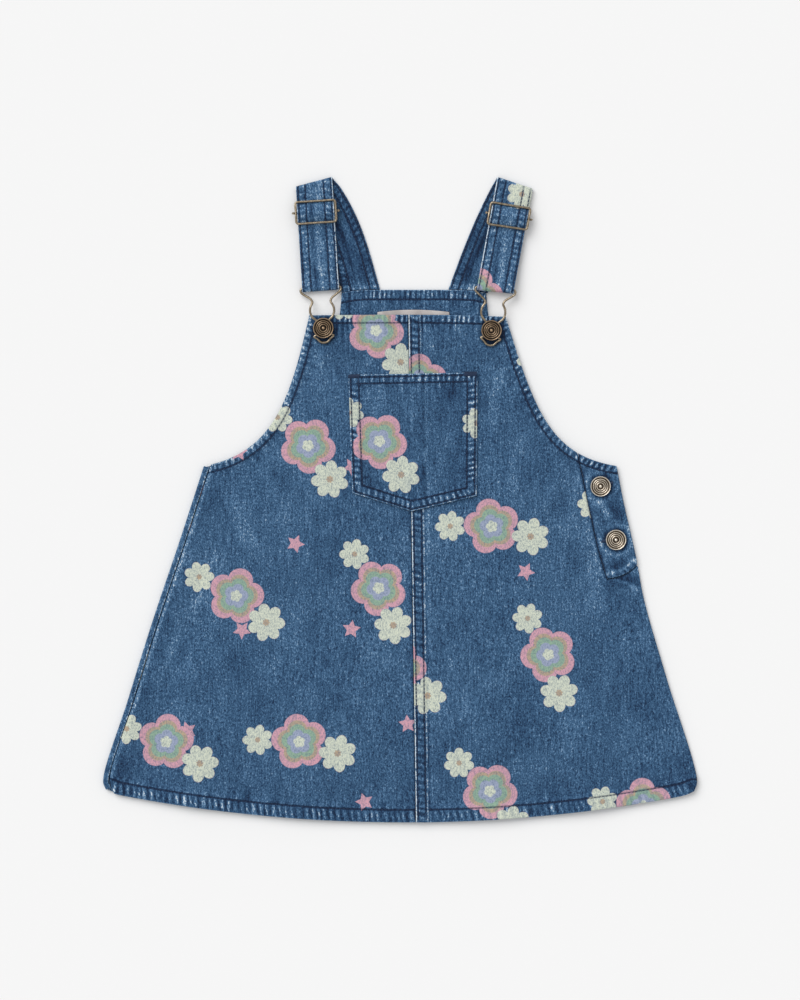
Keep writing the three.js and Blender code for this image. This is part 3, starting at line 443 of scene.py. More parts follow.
def crease_lift(x, y, creases):
    """The height that a table of soft ridges and troughs adds."""
    height = np.zeros(np.shape(x))
    for crease in creases:
        start, end = np.array(crease["start"], float), np.array(crease["end"], float)
        step = end - start
        share = ((x - start[0]) * step[0] + (y - start[1]) * step[1]) / (step @ step)
        swell = np.sin(np.pi * np.clip(share, 0, 1))
        side = ((x - start[0]) * -step[1] + (y - start[1]) * step[0]) / np.hypot(*step)
        along = swell**0.8 * ((share > 0) & (share < 1))
        height += crease["height"] * along * bell(side - crease["bend"] * swell, crease["width"])
    return height


def wear_and_shade_lines(away, lines):
    """Pale and dark lines beside an edge, from the distance, half width and strength of each."""
    return sum(strength * bell(away - distance, wide) for distance, wide, strength in lines)


# %% [markdown]
# ## From grids to cloth
# Every panel is a grid of points, spread between its four edges like a stretched net. The shell under it
# is closed with a coarser net, because nobody looks for puckers on the wrong side. The last rows before
# an edge lie close together, so that the edge can round over.

# %% Grids and shells
EDGE_STEPS = [0, 0.3, 0.8, 1.5, 2.3]


def places(length, pitch, first=True, last=True, band_first=0, band_last=0, fine=0.75):
    """Shares from 0 to 1 at about this pitch, closer near an edge and through a stitched band."""
    head = list(EDGE_STEPS) if first else [0]
    tail = list(EDGE_STEPS) if last else [0]
    head += list(np.arange(head[-1] + fine, band_first, fine))
    tail += list(np.arange(tail[-1] + fine, band_last, fine))
    start, end = head[-1], length - tail[-1]
    count = max(2, int(round((end - start) / pitch)))
    inner = np.linspace(start, end, count + 1)[1:-1]
    return np.concatenate([head, inner, length - np.array(tail[::-1])]) / length


def net(bottom, top, left, right, u, v):
    """A grid of plan points between four edges, rows v by columns u."""
    bottom, top = shares_of(bottom, u)[None], shares_of(top, u)[None]
    left, right = shares_of(left, v)[:, None], shares_of(right, v)[:, None]
    across, up = u[None, :, None], v[:, None, None]
    corners = mix(mix(bottom[:, :1], bottom[:, -1:], across), mix(top[:, :1], top[:, -1:], across), up)
    return mix(bottom, top, up) + mix(left, right, across) - corners


def rim_distance(grid, sides=("bottom", "top", "left", "right")):
    edges = {"bottom": grid[:1], "top": grid[-1:], "left": grid[:, :1], "right": grid[:, -1:]}
    return np.minimum.reduce([np.linalg.norm(grid - edges[side], axis=2) for side in sides])


def rounding(rim, radius):
    share = 1 - np.clip(rim / radius, 0, 1)
    return radius * (1 - np.sqrt(1 - share**2))


def new_mesh(name, points, faces):
    """A mesh of points given in millimetres."""
    mesh = bpy.data.meshes.new(name)
    mesh.from_pydata(np.asarray(points) * MM, [], faces)
    return mesh


def every(last, step, also=()):
    return sorted({*range(0, last, step), last, *also})


def shell(name, top, under, materials, fields=None, notch=None, coarse=4, upside_down=False):
    """A closed sheet between two grids of points. notch cuts the corner past (row, column) away."""
    rows, columns = top.shape[:2]
    notch = notch or (rows - 1, columns - 1)
    row_picks, column_picks = every(rows - 1, coarse, notch[:1]), every(columns - 1, coarse, notch[1:])
    number = np.arange(rows * columns).reshape(rows, columns)
    low_places = ((i, j) for i in row_picks for j in column_picks)
    low = {place: rows * columns + k for k, place in enumerate(low_places)}
    kept = np.ones((rows - 1, columns - 1), bool)
    kept[notch[0]:, notch[1]:] = False
    quads = np.stack([number[:-1, :-1], number[:-1, 1:], number[1:, 1:], number[1:, :-1]], -1)[kept]
    faces = quads.tolist()
    shown = len(faces)
    for i, above in zip(row_picks, row_picks[1:]):
        for j, beside in zip(column_picks, column_picks[1:]):
            if i < notch[0] or j < notch[1]:
                faces.append([low[i, j], low[above, j], low[above, beside], low[i, beside]])
    round_rim = rim_walk(row_picks, column_picks, notch)
    for (i, j), (k, m) in zip(round_rim, round_rim[1:] + round_rim[:1]):
        fine = [number[a, b] for a, b in cells_between((i, j), (k, m))]
        faces.append([low[i, j], low[k, m], *[int(f) for f in fine[::-1]]])
    picked = under[np.ix_(row_picks, column_picks)].reshape(-1, 3)
    mesh = new_mesh(name, np.concatenate([top.reshape(-1, 3), picked]), faces)
    for field, values in (fields or {}).items():
        both = np.concatenate([values.ravel(), values[np.ix_(row_picks, column_picks)].ravel()])
        mesh.attributes.new(field, "FLOAT", "POINT").data.foreach_set("value", both.astype(np.float32))
    return finish_mesh(name, mesh, materials, shown, upside_down)


def rim_walk(row_picks, column_picks, notch):
    """The places round a sheet's rim, anticlockwise, in steps of the coarse net."""
    last_row, last_column = row_picks[-1], column_picks[-1]
    walk = [(0, j) for j in column_picks]
    walk += [(i, last_column) for i in row_picks[1:] if i <= notch[0]]
    if notch != (last_row, last_column):
        walk += [(notch[0], j) for j in reversed(column_picks[:-1]) if j >= notch[1]]
        walk += [(i, notch[1]) for i in row_picks if i > notch[0]]
    walk += [(last_row, j) for j in reversed(column_picks) if j < walk[-1][1]]
    walk += [(i, 0) for i in reversed(row_picks[1:-1])]
    return walk


def cells_between(start, end):
    steps = max(abs(end[0] - start[0]), abs(end[1] - start[1]))
    return [(start[0] + (end[0] - start[0]) * k // steps, start[1] + (end[1] - start[1]) * k // steps)
            for k in range(steps + 1)]


def finish_mesh(name, mesh, materials, shown=None, upside_down=False):
    """Turns the faces outward, paints them and shades them smooth."""
    for material in materials:
        mesh.materials.append(material)
    if len(materials) > 1:
        paint = np.ones(len(mesh.polygons), np.int32)
        paint[:shown] = 0
        mesh.polygons.foreach_set("material_index", paint)
    if upside_down:
        mesh.flip_normals()
    mesh.shade_smooth()
    mesh.set_sharp_from_angle(angle=math.radians(55))
    mesh.validate()
    made = bpy.data.objects.new(name, mesh)
    bpy.context.collection.objects.link(made)
    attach(made, "root")
    print(name, "has", sum(len(p.vertices) - 2 for p in mesh.polygons), "triangles")
    return made


def stands_for(made, node):
    """Hides the solid that a piece takes the place of."""
    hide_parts(node)
    return made


def solid_points(grid, height):
    return np.concatenate([grid, height[..., None]], 2)


def panel(node, grid, heights, rim, rounds, paints, fields=None, slot="denim", **form):
    """A sheet over a grid of plan points. Its rim is rounded from above and from below."""
    top = solid_points(grid, heights[0] - rounding(rim, rounds[0]))
    under = solid_points(grid, heights[1] + rounding(rim, rounds[1]))
    return stands_for(shell(node + "_cloth", top, under, paints, fields, **form), node)


# %% [markdown]
# ## Shader sums
# A shader is a sum over each point of a surface. A small class lets those sums be written as Python, so
# that 1 - mask adds the Math node for it. Every other node comes from its one method.

# %% The Shade class


class Shade:
    """One output of a shader node in a material. Sums on it add their nodes."""

    def __init__(self, tree, socket=None):
        self.tree = tree
        self.socket = socket

    def node(self, kind, settings=None, inputs=None, output=0):
        made = self.tree.nodes.new(kind)
        for name, value in (settings or {}).items():
            if name == "stops":
                set_stops(made.color_ramp, value)
            else:
                setattr(made, name, value)
        for name, value in (inputs or {}).items():
            if isinstance(value, Shade):
                self.tree.links.new(value.socket, made.inputs[name])
            else:
                made.inputs[name].default_value = value
        return Shade(self.tree, made.outputs[output]) if made.outputs else None

    def math(self, operation, *values):
        return self.node("ShaderNodeMath", {"operation": operation}, dict(enumerate(values)))

    def __add__(self, other):
        return self.math("ADD", self, other)

    def __radd__(self, other):
        return self.math("ADD", other, self)

    def __sub__(self, other):
        return self.math("SUBTRACT", self, other)

    def __rsub__(self, other):
        return self.math("SUBTRACT", other, self)

    def __mul__(self, other):
        return self.math("MULTIPLY", self, other)

    def __rmul__(self, other):
        return self.math("MULTIPLY", other, self)

    def __truediv__(self, other):
        return self.math("DIVIDE", self, other)

    def __abs__(self):
        return self.math("ABSOLUTE", self)

    def __pow__(self, other):
        return self.math("POWER", self, other)

    def at_most(self, other):
        return self.math("MINIMUM", self, other)

    def at_least(self, other):
        return self.math("MAXIMUM", self, other)

    def step(self, low, high):
        """0 below low and 1 above high, with a smooth rise between."""
        inputs = {"Value": self, "From Min": low, "From Max": high}
        return self.node("ShaderNodeMapRange", {"interpolation_type": "SMOOTHSTEP"}, inputs)

    def place(self):
        """Where each point of the piece lies, in metres."""
        return self.node("ShaderNodeTexCoord", output="Object")

    def three(self, kind, value):
        """The three numbers of a vector or a colour."""
        split = self.node(kind, inputs={0: value}).socket.node
        return [Shade(self.tree, split.outputs[k]) for k in range(3)]

    def ramp(self, stops, value):
        return self.node("ShaderNodeValToRGB", {"stops": stops}, {0: value})

    def attribute(self, name):
        return self.node("ShaderNodeAttribute", {"attribute_name": name}, output="Fac")

    def vector(self, x, y, z=0.0):
        return self.node("ShaderNodeCombineXYZ", inputs={0: x, 1: y, 2: z})

    def noise(self, vector, scale, detail=2.0):
        return self.node("ShaderNodeTexNoise", inputs={"Vector": vector, "Scale": scale, "Detail": detail})

    def blend(self, a, b, share):
        """From colour a to colour b."""
        return self.node("ShaderNodeMix", {"data_type": "RGBA"}, {0: share, 6: a, 7: b}, output=2)


def set_stops(ramp, stops):
    while len(ramp.elements) < len(stops):
        ramp.elements.new(1)
    for element, (place, colour) in zip(ramp.elements, stops):
        element.position = place
        element.color = linear(colour)


def new_material(name):
    material = bpy.data.materials.new(name)
    material.use_nodes = True
    material.node_tree.nodes.clear()
    return material, Shade(material.node_tree)


def output_surface(shade, constants, varying):
    """The Principled shader and the output: numbers on its sockets, and links for what varies."""
    shader = shade.node("ShaderNodeBsdfPrincipled", inputs={**constants, **varying})
    shade.node("ShaderNodeOutputMaterial", inputs={"Surface": shader})


def bump(shade, height, depth, strength):
    inputs = {"Height": height, "Distance": depth * MM, "Strength": strength}
    return shade.node("ShaderNodeBump", inputs=inputs, output="Normal")


# %% [markdown]
# ## The print
# The cloth is printed all over before it is cut, so the seams cut through the motifs, and each piece has
# its own stretch of the print. The design here is a plain scatter of flowers, daisies and stars: in each
# cell of a half-drop lattice a petal shape is a distance from the cell's middle that swells and shrinks
# with the angle, and rings of that distance give its colours.

# %% Printed motifs
CREAM, PINK, TAN, SAGE, LILAC = "#D3D8C4", "#D49EAA", "#B59F83", "#90AC92", "#9CA4BC"
FLOWER = {"wide": 126, "tall": 114, "radius": 23, "shake": 20}
FLOWER_RINGS = [(0, CREAM), (0.2, CREAM), (0.23, LILAC), (0.42, LILAC), (0.46, SAGE), (0.62, SAGE),
                (0.66, TAN), (0.76, TAN), (0.81, PINK)]
DAISIES = [{"u": -30, "v": 17, "radius": 12.5}, {"u": 24, "v": -23, "radius": 15.5}]
STAR = {"wide": 93, "tall": 71, "radius": 7.6, "shake": 30}


def cell(shade, x, y, wide, tall, shake, seed):
    """Where a place lies from the middle of its motif, and a random number of that motif."""
    row = (y / tall).math("FLOOR", y / tall)
    across = x / wide + row.math("FLOORED_MODULO", row, 2.0) * 0.5
    column = across.math("FLOOR", across)
    inputs = {"Vector": shade.vector(column, row, seed)}
    chance = shade.node("ShaderNodeTexWhiteNoise", inputs=inputs, output="Color")
    first, second, third = shade.three("ShaderNodeSeparateColor", chance)
    u = (across - column - 0.5) * wide - (first - 0.5) * shake
    v = (y / tall - row - 0.5) * tall - (second - 0.5) * shake
    turn = (third - 0.5) * 1.1
    cosine, sine = turn.math("COSINE", turn), turn.math("SINE", turn)
    return u * cosine + v * sine, v * cosine - u * sine, first


def petals(shade, u, v, radius, count, depth, turn=0.0):
    """The distance from the middle of a flower, as a share of its petalled outline."""
    angle = shade.math("ARCTAN2", v, u)
    wave = (angle + turn) * (count / 2)
    swell = abs(wave.math("COSINE", wave)) ** 0.7
    away = (u * u + v * v) ** 0.5
    return away / ((swell * depth + (1 - depth)) * radius)


def star_share(shade, u, v, radius):
    """The distance from the middle of a five-pointed star, as a share of its outline."""
    sector = 2 * math.pi / 5
    angle = shade.math("ARCTAN2", v, u)
    folded = abs(angle.math("FLOORED_MODULO", angle + math.pi, sector) - sector / 2)
    away = (u * u + v * v) ** 0.5
    notch = 0.5 * radius
    tip, low = (radius * math.cos(sector / 2), radius * math.sin(sector / 2)), (notch, 0.0)
    across, up = tip[1] - low[1], low[0] - tip[0]
    reach = across * low[0] + up * low[1]
    return (folded.math("COSINE", folded) * across + folded.math("SINE", folded) * up) * away / reach


def cloth_place(shade, shift, turn):
    """Millimetres along and across the cloth of this piece, before it was cut."""
    x, y, z = (part * 1000 for part in shade.three("ShaderNodeSeparateXYZ", shade.place()))
    cosine, sine = math.cos(math.radians(turn)), math.sin(math.radians(turn))
    return x * cosine + y * sine + shift[0], y * cosine - x * sine + shift[1], z


def flower(shade, u, v):
    share = petals(shade, u, v, FLOWER["radius"], 5, 0.26)
    return shade.ramp(FLOWER_RINGS, share), 1 - share.step(0.985, 1.03)


def daisy(shade, u, v, radius, turn):
    leaf = petals(shade, u, v, radius, 7, 0.34, turn)
    return shade.blend(linear(CREAM), linear(TAN), 1 - leaf.step(0.17, 0.22)), 1 - leaf.step(0.98, 1.04)


def printed(shade, x, y, seed):
    """The print's colour and where it covers the cloth."""
    u, v, chance = cell(shade, x, y, FLOWER["wide"], FLOWER["tall"], FLOWER["shake"], seed)
    colour, cover = flower(shade, u, v)
    for turn, place in enumerate(DAISIES):
        petal, over = daisy(shade, u - place["u"], v - place["v"], place["radius"], turn)
        colour = shade.blend(colour, petal, over)
        cover = cover.at_least(over)
    u, v, chance = cell(shade, x + 30, y + 51, STAR["wide"], STAR["tall"], STAR["shake"], seed + 7)
    star = 1 - star_share(shade, u, v, STAR["radius"]).step(0.96, 1.08)
    star = star * chance.step(0.52, 0.53) * (1 - cover)
    return shade.blend(colour, linear(PINK), star), cover.at_least(star)


def printed_bits(shade, bits):
    """Single motifs at stated places, on the upper layer of a strap only."""
    x, y, z = cloth_place(shade, (0, 0), 0)
    colour, cover = flower(shade, x - bits["flower"][0], y - bits["flower"][1])
    petal, over = daisy(shade, x - bits["daisy"][0], y - bits["daisy"][1], DAISIES[0]["radius"], 1)
    return shade.blend(colour, petal, over), cover.at_least(over) * z.step(2.3, 2.8)


# %% [markdown]
# ## Denim
# Denim is woven from blue warp and pale weft. After washing it shows short pale flecks along the warp, a
# fine dark speckle and soft patches. All of them are noise, stretched along the warp, and they meet in one
# number, the tone, which a ramp turns into a colour from inky blue to almost white. Wear raises the tone
# on folded edges and crests, and each stitch row presses a dark groove into it.

# %% Denim
DENIM_STOPS = [(0.0, "#081C37"), (0.16, "#0F2946"), (0.3, "#224162"), (0.42, "#2F5070"), (0.5, "#375979"),
               (0.6, "#44678B"), (0.72, "#5B7FA1"), (0.86, "#8AA5BD"), (1.0, "#CBD6DE")]
REVERSE_STOPS = [(0.0, "#4D5F78"), (0.5, "#8496AB"), (1.0, "#C9D1DA")]


def yarns(shade, x, y, z):
    """The speckle of the warp and weft, around nought, and the twill's height."""
    fleck = shade.noise(shade.vector(x * 0.95, y * 0.5, z * 0.5), 1.0, 2.0) - 0.5
    grain = shade.noise(shade.vector(x, y * 0.8, z), 1.4, 1.0) - 0.5
    slub = shade.noise(shade.vector(x * 0.7, y * 0.06, 3.0), 1.0, 2.0) - 0.5
    patch = shade.noise(shade.vector(x, y, 9.0), 0.03, 3.0) - 0.5
    twill = x * 5.9 + y * 3.4
    ridge = twill.math("SINE", twill)
    return fleck, grain, slub, patch, ridge


def denim(name, shift=(0, 0), turn=0, seed=1.0, with_print=True, shade_of=0.0, bits=None):
    material, shade = new_material(name)
    x, y, z = cloth_place(shade, shift, turn)
    fleck, grain, slub, patch, ridge = yarns(shade, x, y, z)
    speckle = fleck + grain * 0.85
    edge = shade.attribute("edge")
    fold = (1 - edge.step(0.3, 1.3)) * shade.attribute("rub") * (speckle * 1.8 + 0.8)
    row_a = 1 - abs(edge - shade.attribute("row_a")).step(0.3, 1.25)
    row_b = 1 - abs(edge - shade.attribute("row_b")).step(0.3, 1.25)
    groove = row_a.at_least(row_b)
    # This number holds rubbed wear and also painted shadow: round the buttons, under the placket's edge and
    # foot, and beside the raised felled seam.
    worn = shade.attribute("worn") * (speckle * 1.1 + 1.0)
    tone = speckle + slub * 0.5 + patch * 0.25 + worn + fold * 0.62 - groove * 0.38 + (0.452 + shade_of)
    colour = shade.ramp(DENIM_STOPS, tone)
    if with_print or bits:
        ink, cover = printed_bits(shade, bits) if bits else printed(shade, x, y, seed)
        dull = (0.42 - speckle * 2.0 - worn * 1.6).at_least(0.0).at_most(1.0)
        ink = shade.blend(ink, linear("#667D94"), dull * 0.5)
        solid = (cover * (speckle * 0.8 + 0.92)).at_most(0.96).at_least(0.0)
        colour = shade.blend(colour, ink, solid * (1 - groove * 0.5))
    normal = bump(shade, ridge * 0.25 + speckle * 1.2 - groove * 0.6, 0.35, 0.55)
    constants = {"Roughness": 0.88, "Specular IOR Level": 0.25, "Sheen Weight": 0.06, "Sheen Roughness": 0.5}
    output_surface(shade, constants, {"Base Color": colour, "Normal": normal})
    return material


def denim_reverse():
    """The wrong side, where the pale weft shows."""
    material, shade = new_material("denim_reverse")
    x, y, z = cloth_place(shade, (0, 0), 0)
    fleck, grain, slub, patch, ridge = yarns(shade, x, y, z)
    tone = fleck * 0.9 + grain * 0.8 + slub * 0.3 + patch * 0.3 + 0.5
    colour = shade.ramp(REVERSE_STOPS, tone)
    normal = bump(shade, ridge * 0.3 + fleck, 0.3, 0.5)
    constants = {"Roughness": 0.92, "Specular IOR Level": 0.2}
    output_surface(shade, constants, {"Base Color": colour, "Normal": normal})
    return material


REVERSE = denim_reverse()
print("denim made, with", len(REVERSE.node_tree.nodes), "nodes on its wrong side")

# %% [markdown]
# ## Thread
# Each visible stitch is a short spindle of navy thread, sunk a little into its row. Hundreds of them are
# joined into one mesh for each piece. The pitch wanders slightly, as it does when a seam passes under the
# needle.

# %% Stitches
STITCH = {"pitch": 3.1, "long": 2.35, "radius": 0.45}
THREAD_NAVY, THREAD_BLUE = "#0C1830", "#2B4468"


def thread_material():
    material, shade = new_material("navy_thread")
    twist = shade.noise(shade.place(), 2600.0, 2.0)
    colour = shade.blend(linear(THREAD_NAVY), linear(THREAD_BLUE), twist.step(0.35, 0.75))
    varying = {"Base Color": colour, "Roughness": twist * 0.3 + 0.5, "Normal": bump(shade, twist, 0.1, 0.5)}
    output_surface(shade, {"Specular IOR Level": 0.35}, varying)
    return material


THREAD = thread_material()


def spindles(starts, ends, radius):
    """Points and faces of one spindle for each start and end."""
    sides, rings = 6, [(0.0, 0.25), (0.12, 0.85), (0.5, 1.0), (0.88, 0.85), (1.0, 0.25)]
    way = ends - starts
    across = np.cross(way, [0.0, 0.0, 1.0])
    across /= np.linalg.norm(across, axis=1)[:, None]
    up = np.cross(across, way)
    up /= np.linalg.norm(up, axis=1)[:, None]
    points = []
    for share, wide in rings:
        for k in range(sides):
            angle = 2 * math.pi * k / sides
            out = radius * wide * (across * math.cos(angle) + up * math.sin(angle))
            points.append(starts + way * share + out)
    points = np.stack(points, 1)
    faces = []
    for r in range(len(rings) - 1):
        for k in range(sides):
            a, b = r * sides + k, r * sides + (k + 1) % sides
            faces.append([a, b, b + sides, a + sides])
    caps = [list(range(sides))[::-1], list(range(sides * (len(rings) - 1), sides * len(rings)))]
    size = sides * len(rings)
    every_face = [[i + n * size for i in face] for n in range(len(starts)) for face in faces + caps]
    return points.reshape(-1, 3), every_face


def thread_piece(name, starts, ends, radius):
    """One mesh of all these stitches."""
    points, faces = spindles(starts, ends, radius)
    made = finish_mesh(name, new_mesh(name, points, faces), [THREAD], upside_down=True)
    return made


def stitch_run(line, seed):
    """Starts and ends of the stitches along a line of points in space."""
    total = lengths(line)[-1]
    count = max(1, int(total / STITCH["pitch"]))
    wander = np.random.default_rng(seed).uniform(-0.12, 0.12, count)
    middle = (np.arange(count) + 0.5 + wander) * total / count
    half = STITCH["long"] / 2
    starts = along_line(line, np.clip(middle - half, 0, total))
    return starts, along_line(line, np.clip(middle + half, 0, total))


def sew(name, runs, seed):
    """All the stitches along these lines, as one piece."""
    parts = [stitch_run(line, seed + k) for k, line in enumerate(runs)]
    starts, ends = (np.concatenate([part[k] for part in parts]) for k in range(2))
    return thread_piece(name, starts, ends, STITCH["radius"])


def beside(line, distance):
    """A line moved to its left by a distance."""
    way = np.gradient(line, axis=0)
    way /= np.linalg.norm(way, axis=1)[:, None]
    return line + distance * np.stack([-way[:, 1], way[:, 0]], 1)


def laid_on(line, height):
    """A line of plan points lifted on to a surface."""
    fine = along_line(line, np.arange(0, lengths(line)[-1], 0.8))
    return np.concatenate([fine, height(fine[:, 0], fine[:, 1])[:, None]], 1)


# %% [markdown]
# ## The front panels
# Two panels meet at the felled seam down the middle. The wearer's left one carries the seam: its edge is
# folded over, stitched twice and rubbed white along the fold. It also stops at the placket, so its net has
# a corner left out there. A few creases are placed one by one, no two alike.

# %% Front creases and edges
FRONT_CREASES = table(CREASE_COLUMNS, [
    ((-186, -205), (-150, -84), 9, 0.55, 4),
    ((-132, -246), (-118, -150), 7, -0.45, -3),
    ((-62, -232), (-70, -118), 11, 0.4, 5),
    ((-150, 10), (-92, -26), 6, 0.5, -5),
    ((-128, 34), (-84, -2), 5, -0.4, 4),
    ((-92, 66), (-60, 18), 6, 0.35, 3),
    ((-70, 138), (-64, 92), 4, 0.35, 2),
    ((-30, 143), (-26, 112), 4, -0.3, 1),
    ((42, 142), (37, 112), 4, 0.3, -1),
    ((96, 96), (78, 36), 6, 0.4, -4),
    ((138, 30), (104, -22), 6, 0.5, 5),
    ((148, 20), (153, -58), 6, 0.4, 4),
    ((166, -68), (203, -80), 3.2, 0.7, 2.5),
    ((163, -70), (196, -92), 4.5, -0.5, 2),
    ((158, -72), (150, -150), 8, 0.45, -5),
    ((196, -120), (214, -214), 8, -0.45, 3),
    ((112, -240), (98, -130), 9, -0.45, 4),
    ((60, -236), (56, -160), 7, 0.35, -3),
])
HEM_FRONT = edge_of(hem_line, -242, 243, 90)
BIB_FRONT = edge_of(bib_edge, -75.3, 87.8, 30)
RIGHT_EDGES = [("hem", HEM_FRONT), ("armhole", FRONT_ARM_RIGHT), ("bib", BIB_FRONT)]
LEFT_EDGES = [("hem", HEM_FRONT), ("armhole", FRONT_ARM_LEFT), ("bib", BIB_FRONT)]


def front_unevenness(x, y):
    return crease_lift(x, y, FRONT_CREASES) + 0.22 * patches(x, y, 34, 21) + 0.1 * patches(x, y, 11, 22)


FRONT_WEAR_AND_SHADE = table(CREASE_COLUMNS, [
    # The second row is a painted shadow under the placket's foot.
    ((172, -66), (199, -76), 1.6, 0.34, 2.5),
    ((168, -68), (202, -69), 5.5, -0.38, 1.5),
    ((-196, -150), (-170, -78), 5, 0.13, 3),
    ((-176, -120), (-150, -40), 6, 0.1, 2),
    ((-140, 12), (-104, -60), 6, 0.09, -6),
    ((-118, 32), (-96, -14), 4, 0.11, 3),
    ((-88, 84), (-74, 30), 5, 0.1, 3),
    ((88, 120), (76, 60), 4, 0.12, -3),
    ((110, 62), (92, -6), 6, 0.12, -5),
    ((141, 26), (136, -40), 5, 0.12, 4),
    ((155, -24), (158, -100), 6, 0.12, 4),
    ((30, 145), (26, 112), 3, 0.12, -1),
    ((-22, 145), (-26, 108), 3, 0.12, 1),
    ((14, -60), (22, -240), 7, -0.06, 2),
])


def soft_wear_and_shade(x, y):
    """Rubbed streaks, painted shadow under the placket's foot, darker cloth over the hem, and dark smudges
    beside the wearer's right seam.
    """
    side = np.interp(y, [row[1] for row in SIDE_RIGHT], [row[0] for row in SIDE_RIGHT])
    smudge = np.maximum(0, ripple(y, 13, 37)) * bell(x - side - 14, 7) * (y < 10)
    low = 1 - smooth(9, 48, y - hem_line(x))
    streaks = 0.035 * patches(x * 2.4, y * 0.5, 14, 38) + 0.025 * patches(x, y, 22, 31)
    return crease_lift(x, y, FRONT_WEAR_AND_SHADE) + streaks - 0.16 * smudge - 0.04 * low


BIB_BUTTONS = [(-63.5, 141.9), (75.7, 140)]


def front_surface(x, y, edges, seed):
    """Top, underside and shader numbers of the front at these places."""
    top, under = front_heights(x, y)
    fields, lift = edge_fields(x, y, edges, seed)
    uneven = front_unevenness(x, y)
    pressed = 0.3 * bell(fields["edge"] - fields["row_a"], 0.8)
    fields["worn"] = fields["worn"] + 0.08 * crease_lift(x, y, FRONT_CREASES) + soft_wear_and_shade(x, y)
    # Painted shadow round each bib button, set off to the right and below it.
    for place in BIB_BUTTONS:
        away = np.hypot(x - place[0] - 1, y - place[1] + 1.5)
        fields["worn"] = fields["worn"] - 0.3 * (1 - smooth(8.5, 13, away))
    return top + lift + uneven - pressed, under + np.maximum(uneven, -0.2), fields


FRONT_SIDES = {"right": (RIGHT_EDGES, 100), "left": (LEFT_EDGES, 200)}  # with the seed of each one's puckers


def front_top(x, y):
    """Height of the front's top, for what lies on it."""
    return front_surface(x, y, *FRONT_SIDES["right" if np.mean(x) < SEAM_X else "left"])[0]


SEAM_FOOT = hem_line(SEAM_X + 6)


# %% Front right
ROLL_REACH = 4.5


def front_right_grid():
    inset = ROLL_REACH + 3.5 * GAP
    corner_x = -(CORNER_X - CORNER_NARROWS * inset)
    arm = part_of(FRONT_ARM_RIGHT, 0.037, 1)
    side = through([(corner_x, hem_line(corner_x)), *[(x + inset, y) for x, y in SIDE_RIGHT[:-1]], arm[0]])
    outer = np.concatenate([side, arm[1:]])
    inner_y = np.linspace(SEAM_FOOT, BIB_TOP, 60)
    inner = plan(seam_line(inner_y) - GAP, inner_y)
    bottom = curve_between(outer[0], inner[0], hem_line)
    top = curve_between(outer[-1], inner[-1], bib_edge)
    u = places(lengths(bottom)[-1], 1.6)
    v = places(lengths(outer)[-1], 1.5, band_first=13, band_last=9)
    return net(bottom, top, outer, inner, u, v)


def flat_area(grid):
    """The area of a net in square metres."""
    a, b = grid[1:, 1:] - grid[:-1, :-1], grid[1:, :-1] - grid[:-1, 1:]
    return float(np.abs(a[..., 0] * b[..., 1] - a[..., 1] * b[..., 0]).sum() / 2) * MM * MM


right_grid = front_right_grid()
top, under, fields = front_surface(right_grid[..., 0], right_grid[..., 1], *FRONT_SIDES["right"])
fields["worn"] += wear_and_shade_lines(rim_distance(right_grid, ("left",)), [(1.6, 1.2, 0.25)])
# Painted shade along the edge that meets the raised felled seam.
fields["worn"] -= 0.28 * np.exp(-rim_distance(right_grid, ("right",)) / 1.3)
right_denim = denim("denim_front_right", (13, 22), 0, 1.0)
front_right = panel("front_right", right_grid, (top, under), rim_distance(right_grid), (0.5, 0.3),
                    [right_denim, REVERSE], fields)
print("front right cut:", round(flat_area(right_grid), 4), "square metres")

# %% [markdown]
# The left panel's net is made of two nets, one below the placket's foot and one above it. They share a
# line, and the columns of the felled seam are added beside them.

# %% Front left
SEAM_OFFSETS = np.array([10, 9.6, 9.2, 8.8, 8.4, 8, 7.4, 6.7, 6, 5.2, 4.4, 3.6, 2.9, 2.3, 1.8, 1.4, 1, 0.5])
PLACKET_LINE = through(PLACKET_SEAM)
PLACKET_FOOT = bezier([PLACKET_SEAM[0], PLACKET_LOW, PLACKET_END])


def seam_at(y):
    return seam_line(y) + SEAM_BAND + 0.5, y


def front_left_grid():
    """The panel's net, and the row and column past which the placket's corner is left out."""
    side = through([(CORNER_X, hem_line(CORNER_X)), *SIDE_LEFT])
    below = side[side[:, 1] < PLACKET_END[1] - 3 * GAP]
    foot = PLACKET_FOOT - [0, 3 * GAP]
    below = np.concatenate([below, foot[-1:]])
    start = seam_at(foot[0][1] + 3)
    shared = np.linspace(start, foot[0], 40)
    inner_low = np.linspace(seam_at(SEAM_FOOT), start, 40)
    inner_high = np.linspace(start, seam_at(BIB_TOP), 40)
    opening = PLACKET_LINE - [GAP, 0]
    arm = part_of(FRONT_ARM_LEFT, 0.2, 1, 200)
    arm = arm[arm[:, 0] < opening[-1][0] - 0.5]
    outer_high = np.concatenate([foot[:1], opening[1:-1], arm])
    first = places(lengths(shared)[-1], 1.25)
    second = places(lengths(foot)[-1], 1.25)
    split = lengths(shared)[-1] / (lengths(shared)[-1] + lengths(foot)[-1])
    u = np.concatenate([first * split, split + second[1:] * (1 - split)])
    top_low = np.concatenate([shared, foot[1:]])
    bottom = curve_between(inner_low[0], below[0], hem_line)
    v_low = places(lengths(below)[-1], 1.5, band_first=13)
    low = net(bottom, top_low, inner_low, below, u, v_low)
    v_high = places(lengths(outer_high)[-1], 1.5, first=False, band_last=9)
    bib = curve_between(inner_high[-1], outer_high[-1], bib_edge)
    high = net(shared, bib, inner_high, outer_high, first, v_high)
    filler = np.repeat(high[1:, -1:], len(second) - 1, axis=1)
    panel = np.concatenate([low, np.concatenate([high[1:], filler], 1)])
    seam = panel[:, :1] - np.stack([SEAM_OFFSETS, 0 * SEAM_OFFSETS], 1)[None]
    return np.concatenate([seam, panel], 1), (len(low) - 1, len(SEAM_OFFSETS) + len(first) - 1)


